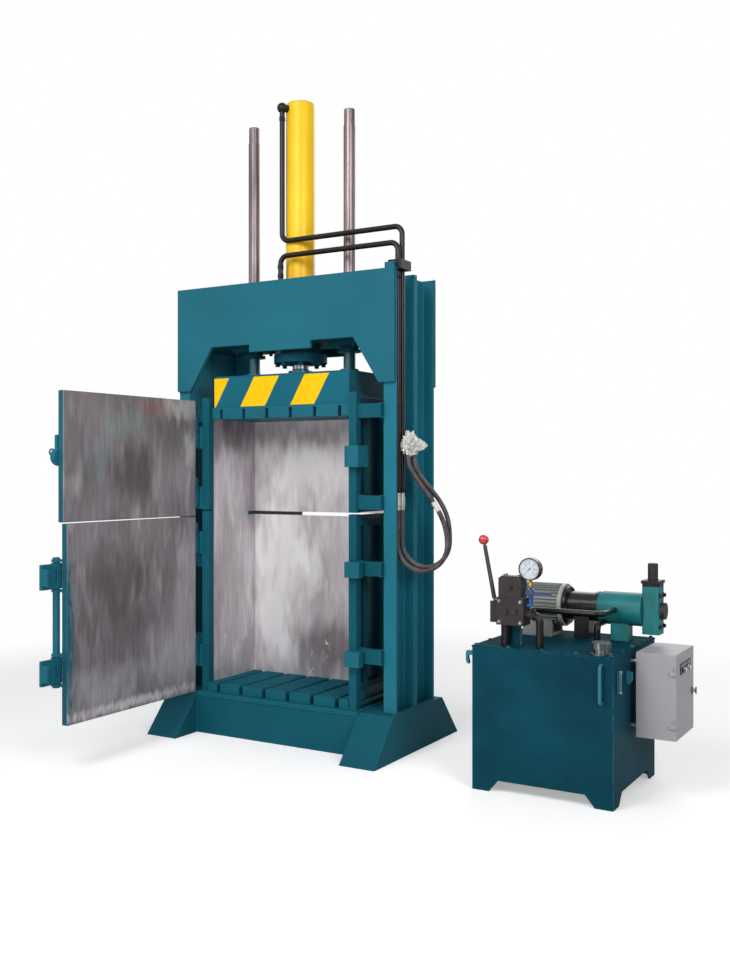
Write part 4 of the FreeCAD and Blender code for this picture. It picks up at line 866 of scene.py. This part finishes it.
def unitBoltPieces():
    up, right = (0, 0, 1), (1, 0, 0)
    left, far = unitValues["lidX"]
    front, rear = unitValues["lidY"]
    top, y, z = unitValues["lidTop"], unitValues["shaftY"], unitValues["shaftZ"]
    places = []
    for i in range(5):
        x = left + i * (far - left) / 4
        places += [((x, front, top), up), ((x, rear, top), up)]
    for i in range(1, 4):
        along = front + i * 0.607 / 4
        places += [((left, along, top), up), ((far, along, top), up)]
    boltPiece("lidBolts", places, tankEnamel, "press", unitValues["lid"])
    boltPiece("bellBolts", ringOf((1.508, y, z), 0.078, 6, right, 0.3), castIron, "press", unitValues["bell"])
    head = [((1.938, y + dy, z + dz), right) for dy in (-0.032, 0.032) for dz in (-0.07, 0.07)]
    boltPiece("pumpHeadBolts", head, blackEnamel, "press", unitValues["flange"])


unitBoltPieces()


# Motor fins: thin ribs along the case, spread round its axis
def finTree():
    tree, given = newNodeTree("motor fins", [
        ("Count", "NodeSocketInt", 40), ("Radius", "NodeSocketFloat", 0.092),
        ("Fin", "NodeSocketVector", (0.012, 0.003, 0.17))])
    ring = addNode(tree, "GeometryNodeMeshCircle", links={"Vertices": given["Count"], "Radius": given["Radius"]})
    fin = addNode(tree, "GeometryNodeMeshCube", links={"Size": given["Fin"]})
    spot = addNode(tree, "GeometryNodeInputPosition")
    turn = addNode(tree, "FunctionNodeAlignRotationToVector", {"axis": "X"}, {"Vector": spot.outputs[0]})
    placed = addNode(tree, "GeometryNodeInstanceOnPoints", links={
        "Points": ring.outputs[0], "Instance": fin.outputs[0], "Rotation": turn.outputs[0]})
    realizeAndPaint(tree, placed).inputs["Material"].default_value = motorEnamel
    return tree


def motorFins():
    holder = bpy.data.objects.new("finSeed", bpy.data.meshes.new("finSeed"))
    scene.collection.objects.link(holder)
    grown = bakeNodes(holder, finTree(), {"Count": 36, "Radius": 0.0945, "Fin": (0.011, 0.0032, 0.182)})
    bpy.data.objects.remove(holder)
    middle = (unitValues["motorMiddle"], unitValues["shaftY"], unitValues["shaftZ"])
    grown.transform(Matrix.Translation(middle) @ Matrix.Rotation(math.radians(90), 4, "Y"))
    pieceFrom("motorFins", grown, motorEnamel, "press")


motorFins()


gaugeValues = {"x": 1.475, "y": -0.4192, "z": 0.990, "dial": 0.0445, "start": 225, "step": 9, "ticks": 31,
               "needle": 222, "stem": ((1.475, -0.402, 0.917), (1.475, -0.402, 0.909))}


def thinPlate(work, spots, centre, near, far):
    # a flat outline in the dial's plane, from y near to y far
    front = [work.verts.new((centre.x + p.x, near, centre.z + p.z)) for p in spots]
    back = [work.verts.new((centre.x + p.x, far, centre.z + p.z)) for p in spots]
    work.faces.new(front)
    work.faces.new(back[::-1])
    for a in range(len(spots)):
        b = (a + 1) % len(spots)
        work.faces.new([front[a], back[a], back[b], front[b]])


def gaugeFace():
    centre = Vector((gaugeValues["x"], gaugeValues["y"], gaugeValues["z"]))
    radius = gaugeValues["dial"]
    work = bmesh.new()
    turnedSolid(work, [(0, 0), (radius, 0), (radius, 0.0015), (0, 0.0015)], centre, (0, -1, 0), 48)
    pieceFrom("gaugeDial", meshOf(work, "gaugeDial"), dialPaper, "press")
    work = bmesh.new()
    front = centre.y - 0.0018
    for i in range(gaugeValues["ticks"]):
        angle = math.radians(gaugeValues["start"] - gaugeValues["step"] * i)
        long = i % 5 == 0
        inner, outer = (0.033 if long else 0.0365), 0.041
        half = 0.0011 if long else 0.0007
        along = Vector((math.cos(angle), 0, math.sin(angle)))
        side = Vector((-math.sin(angle), 0, math.cos(angle)))
        spots = [along * inner - side * half, along * outer - side * half, along * outer + side * half,
                 along * inner + side * half]
        thinPlate(work, spots, centre, front, front + 0.0008)
    pieceFrom("gaugeTicks", meshOf(work, "gaugeTicks"), blackPlastic, "press")
    work = bmesh.new()
    lean = math.radians(gaugeValues["needle"])
    needle = Vector((math.cos(lean), 0, math.sin(lean)))
    side = Vector((-needle.z, 0, needle.x))
    spots = [-needle * 0.012 + side * 0.0018, needle * 0.034, -needle * 0.012 - side * 0.0018]
    thinPlate(work, spots, centre, front - 0.0012, front - 0.0004)
    turnedSolid(work, [(0, 0), (0.004, 0), (0.004, 0.002), (0, 0.0024)], (centre.x, front, centre.z), (0, -1, 0), 20)
    pieceFrom("gaugeNeedle", meshOf(work, "gaugeNeedle"), blackPlastic, "press")


gaugeFace()


def dialNumerals():
    centre = Vector((gaugeValues["x"], gaugeValues["y"] - 0.0017, gaugeValues["z"]))
    work = bmesh.new()
    for i in range(7):
        words = bpy.data.curves.new("numeral", "FONT")
        words.body = str(10 * i)
        words.size = 0.0095
        words.extrude = 0.0002
        words.align_x = "CENTER"
        words.align_y = "CENTER"
        holder = bpy.data.objects.new("numeral", words)
        scene.collection.objects.link(holder)
        mesh = bpy.data.meshes.new_from_object(holder.evaluated_get(bpy.context.evaluated_depsgraph_get()))
        bpy.data.objects.remove(holder)
        angle = math.radians(gaugeValues["start"] - 5 * gaugeValues["step"] * i)
        spot = centre + Vector((0.0255 * math.cos(angle), 0, 0.0255 * math.sin(angle)))
        mesh.transform(Matrix.Translation(spot) @ Matrix.Rotation(math.radians(90), 4, "X"))
        work.from_mesh(mesh)
    pieceFrom("dialNumerals", meshOf(work, "dialNumerals"), blackPlastic, "press")


def gaugeFittings():
    work = bmesh.new()
    radius = gaugeValues["dial"]
    turnedSolid(work, [(0, 0), (radius, 0), (radius, 0.0006), (0.030, 0.0014), (0, 0.0018)],
                (gaugeValues["x"], gaugeValues["y"] - 0.0032, gaugeValues["z"]), (0, -1, 0), 48)
    pieceFrom("gaugeGlass", meshOf(work, "gaugeGlass"), gaugeGlass, "press", smooth=True)
    nut, stem = gaugeValues["stem"]
    work = bmesh.new()
    turnedSolid(work, [(0, 0), (0.0105, 0), (0.0115, 0.001), (0.0115, 0.013), (0.0105, 0.014), (0, 0.014)],
                nut, (0, 0, 1), 6)
    turnedSolid(work, [(0, 0), (0.008, 0), (0.008, 0.026), (0, 0.026)], stem, (0, 0, 1), 24)
    pieceFrom("gaugeStem", meshOf(work, "gaugeStem"), brassMetal, "press")


dialNumerals()
gaugeFittings()


boxValues = {"face": 2.0693, "panel": 2.0723, "buttonTip": 2.0813, "buttons": (-0.120, -0.050),
             "buttonLevel": 0.558, "stripLevel": 0.5785, "knob": (0.039, 0.440)}


def boxDetails():
    work = bmesh.new()
    for y in boxValues["buttons"]:
        turnedSolid(work, [(0, 0), (0.0098, 0), (0.0098, 0.002), (0.0085, 0.0045), (0, 0.0052)],
                    (boxValues["buttonTip"], y, boxValues["buttonLevel"]), (1, 0, 0), 28)
    pieceFrom("pushButtons", meshOf(work, "pushButtons"), whitePlastic, "box_door", smooth=True)
    work = bmesh.new()
    for y in boxValues["buttons"]:
        turnedSolid(work, [(0.0105, 0), (0.0138, 0), (0.0138, 0.004), (0.0118, 0.006), (0.0105, 0.006), (0.0105, 0)],
                    (boxValues["panel"], y, boxValues["buttonLevel"]), (1, 0, 0), 28)
    pieceFrom("buttonRings", meshOf(work, "buttonRings"), leverSteel, "box_door", smooth=True)
    work = bmesh.new()
    level = boxValues["stripLevel"]
    for y in (-0.147, -0.086, -0.025):
        softBlock(work, (boxValues["panel"] - 0.0002, y - 0.024, level - 0.0045),
                  (boxValues["panel"] + 0.0008, y + 0.024, level + 0.0045), 0.0003, 1)
    pieceFrom("blankStrips", meshOf(work, "blankStrips"), greyPlastic, "box_door")
    y, z = boxValues["knob"]
    work = bmesh.new()
    turnedSolid(work, [(0.0082, 0), (0.0150, 0), (0.0150, 0.002), (0.0135, 0.0035), (0.0082, 0.0035), (0.0082, 0)],
                (boxValues["face"], y, z), (1, 0, 0), 28)
    softBlock(work, (boxValues["face"] + 0.015, y - 0.004, z - 0.016),
              (boxValues["face"] + 0.020, y + 0.004, z + 0.016), 0.0015, 2)
    pieceFrom("boxLock", meshOf(work, "boxLock"), blackPlastic, "box_door")


boxDetails()


def tankDetails():
    work = bmesh.new()
    softBlock(work, (1.8785, -0.4055, 0.494), (1.8815, -0.3985, 0.564), 0.001, 2)
    pieceFrom("levelGlass", meshOf(work, "levelGlass"), blackPlastic, "press")
    work = bmesh.new()
    for i in range(6):
        z = 0.499 + 0.0115 * i
        softBlock(work, (1.8813, -0.4050, z), (1.8820, -0.4015, z + 0.007), 0.0002, 1)
    pieceFrom("levelMarks", meshOf(work, "levelMarks"), whitePlastic, "press")
    small = boltSizes(0.0062, 0.004, 0.0078, 0.0012)
    boltPiece("levelBolts", [((1.879, -0.402, z), (1, 0, 0)) for z in (0.486, 0.572)], zincSteel, "press", small)
    ears = [((1.903, -0.2421, z), (0, -1, 0)) for z in (0.312, 0.592)]
    boltPiece("boxEars", ears, zincSteel, "press", small)


tankDetails()


def valveDetails():
    screw = boltSizes(0.0065, 0.007, 0.0078, 0.001)
    top = [((x, y, 0.956), (0, 0, 1)) for x in (1.353, 1.424) for y in (-0.419, -0.385)]
    front = [((x, -0.444, z), (0, -1, 0)) for x in (1.342, 1.442) for z in (0.754, 0.846)]
    boltPiece("valveScrews", top + front, leverSteel, "press", screw)
    plug = boltSizes(0.013, 0.008, 0.016, 0.003)
    plugs = [((1.372, -0.444, 0.800), (0, -1, 0)), ((1.414, -0.444, 0.800), (0, -1, 0)),
             ((1.388, -0.437, 0.908), (0, -1, 0))]
    boltPiece("valvePlugs", plugs, castIron, "press", plug)
    work = bmesh.new()
    for x, y, z, way in ((1.482, -0.402, 0.786, (1, 0, 0)), (1.412, -0.360, 0.788, (0, 1, 0))):
        turnedSolid(work, [(0.0128, -0.001), (0.0215, -0.001), (0.023, 0.001), (0.023, 0.016), (0.0215, 0.018),
                           (0.0128, 0.018), (0.0128, -0.001)], (x, y, z), way, 6)
    pieceFrom("pipeUnions", meshOf(work, "pipeUnions"), blackEnamel, "press")
    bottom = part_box("control_valve")[0][2]
    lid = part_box("tank_lid")[1][2]
    work = bmesh.new()
    softBlock(work, (1.344, -0.3745, lid + 0.0003), (1.418, -0.3685, bottom - 0.0003), 0.001, 1)
    softBlock(work, (1.344, -0.3685, lid + 0.0003), (1.418, -0.3385, lid + 0.0063), 0.001, 1)
    pieceFrom("valveStand", meshOf(work, "valveStand"), tankEnamel, "press")


valveDetails()


# The hand lever has a thick black sleeve from its fork up to the ball
leverValues = {"foot": (1.306, -0.402, 0.825), "lean": 11.2, "from": 0.026, "to": 0.266,
               "radius": (0.0098, 0.0088)}


def leverSleeve():
    lean = math.radians(leverValues["lean"])
    way = Vector((-math.sin(lean), 0, math.cos(lean)))
    low, high = leverValues["from"], leverValues["to"]
    thick, thin = leverValues["radius"]
    work = bmesh.new()
    turnedSolid(work, [(0.0058, 0), (thick - 0.001, 0), (thick, 0.0012), (thin, high - low - 0.002),
                       (thin - 0.001, high - low), (0.0058, high - low), (0.0058, 0)],
                Vector(leverValues["foot"]) + way * low, way, 28)
    pieceFrom("leverSleeve", meshOf(work, "leverSleeve"), gripRubber, "lever")


leverSleeve()


# A strip behind the rear slit closes its left part
def slitStrip():
    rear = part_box("chamber_rear_walls")[1][1]
    work = bmesh.new()
    softBlock(work, (-0.452, rear - 0.0045, 1.1725), (-0.119, rear - 0.0005, 1.1965), 0.001, 1)
    pieceFrom("slitStrip", meshOf(work, "slitStrip"), castIron, "press")


slitStrip()


# Unions on the pressure pipes, a hex nut over a collar
def pipeNuts():
    work = bmesh.new()
    for x, y, z in ((-0.041, -0.155, 2.452), (-0.041, -0.155, 2.500), (-0.054, -0.122, 3.300),
                    (0.672, -0.155, 1.318), (0.678, -0.122, 1.318), (0.672, -0.155, 2.380)):
        turnedSolid(work, [(0.0138, 0), (0.0165, 0), (0.0178, 0.0015), (0.0178, 0.0205), (0.0165, 0.022),
                           (0.0138, 0.022), (0.0138, 0)], (x, y, z), (0, 0, 1), 6)
    pieceFrom("pipeNuts", meshOf(work, "pipeNuts"), blackEnamel, "press")


pipeNuts()
print("power unit detailed")


# Floor, white surround and lamps

studioValues = {
    "world": 0.2, "floorShade": 0.9, "floorGlow": 0.36, "floorReach": (2.6, 4.6),
    "lamps": (("keyLamp", (0.3, -3.7, 3.8), (0.3, -0.2, 1.5), 88, 2.0),
              ("doorLamp", (5.4, -3.4, 3.6), (0.2, -0.4, 1.3), 142, 2.4),
              ("lowLamp", (0.6, -5.4, 1.0), (0, 0, 1.0), 46, 1.6),
              ("fillLamp", (-4.5, -4.5, 3.2), (0, 0, 1.2), 40, 3.0),
              ("backLamp", (0.5, 5.0, 4.5), (0.3, 0, 1.5), 120, 4.0)),
}


def floorMaterial():
    # white paper that keeps the shadow near the press and fades into the background far from it
    material, tree = newMaterial("pale floor")
    shade = studioValues["floorShade"]
    paper = addNode(tree, "ShaderNodeBsdfDiffuse", {"Color": (shade, shade, shade, 1)})
    glow = addNode(tree, "ShaderNodeEmission", {"Strength": studioValues["floorGlow"]})
    white = addNode(tree, "ShaderNodeEmission", {"Strength": 1.0})
    lit = addNode(tree, "ShaderNodeAddShader", links={0: paper.outputs[0], 1: glow.outputs[0]})
    place = ownPlace(tree)
    away = lengthOf(tree, place)
    near, far = studioValues["floorReach"]
    fade = addNode(tree, "ShaderNodeMapRange",
                   {"From Min": near, "From Max": far, "interpolation_type": "SMOOTHSTEP"}, {"Value": away})
    seenFloor = addNode(tree, "ShaderNodeMixShader", links={
        0: fade.outputs["Result"], 1: lit.outputs[0], 2: white.outputs[0]})
    way = addNode(tree, "ShaderNodeLightPath")
    real = addNode(tree, "ShaderNodeMixShader", links={
        0: way.outputs["Is Camera Ray"], 1: paper.outputs[0], 2: seenFloor.outputs[0]})
    addNode(tree, "ShaderNodeOutputMaterial", links={"Surface": real.outputs[0]})
    return material


def studio():
    world = bpy.data.worlds.new("studio")
    world.use_nodes = True
    tree = world.node_tree
    tree.nodes.clear()
    soft = addNode(tree, "ShaderNodeBackground", {"Color": (1, 1, 1, 1), "Strength": studioValues["world"]})
    plain = addNode(tree, "ShaderNodeBackground", {"Color": (1, 1, 1, 1), "Strength": 1.0})
    way = addNode(tree, "ShaderNodeLightPath")
    seen = sumOf(tree, "MAXIMUM", way.outputs["Is Camera Ray"], way.outputs["Is Transmission Ray"])
    seen = sumOf(tree, "MAXIMUM", seen, way.outputs["Is Glossy Ray"])
    mixed = addNode(tree, "ShaderNodeMixShader", links={
        0: seen, 1: soft.outputs[0], 2: plain.outputs[0]})
    addNode(tree, "ShaderNodeOutputWorld", links={"Surface": mixed.outputs[0]})
    scene.world = world
    work = bmesh.new()
    bmesh.ops.create_grid(work, x_segments=1, y_segments=1, size=30)
    floor = bpy.data.objects.new("floor", meshOf(work, "floor"))
    floor.location = (0.5, 0, -0.0005)
    scene.collection.objects.link(floor)
    dress(floor, floorMaterial())
    for name, place, aim, power, size in studioValues["lamps"]:
        lampData = bpy.data.lights.new(name, "AREA")
        lampData.energy = power
        lampData.size = size
        lamp = bpy.data.objects.new(name, lampData)
        lamp.visible_camera = False
        lamp.location = place
        lamp.rotation_euler = (Vector(aim) - Vector(place)).to_track_quat("-Z", "Y").to_euler()
        scene.collection.objects.link(lamp)


studio()
print("scene ready")
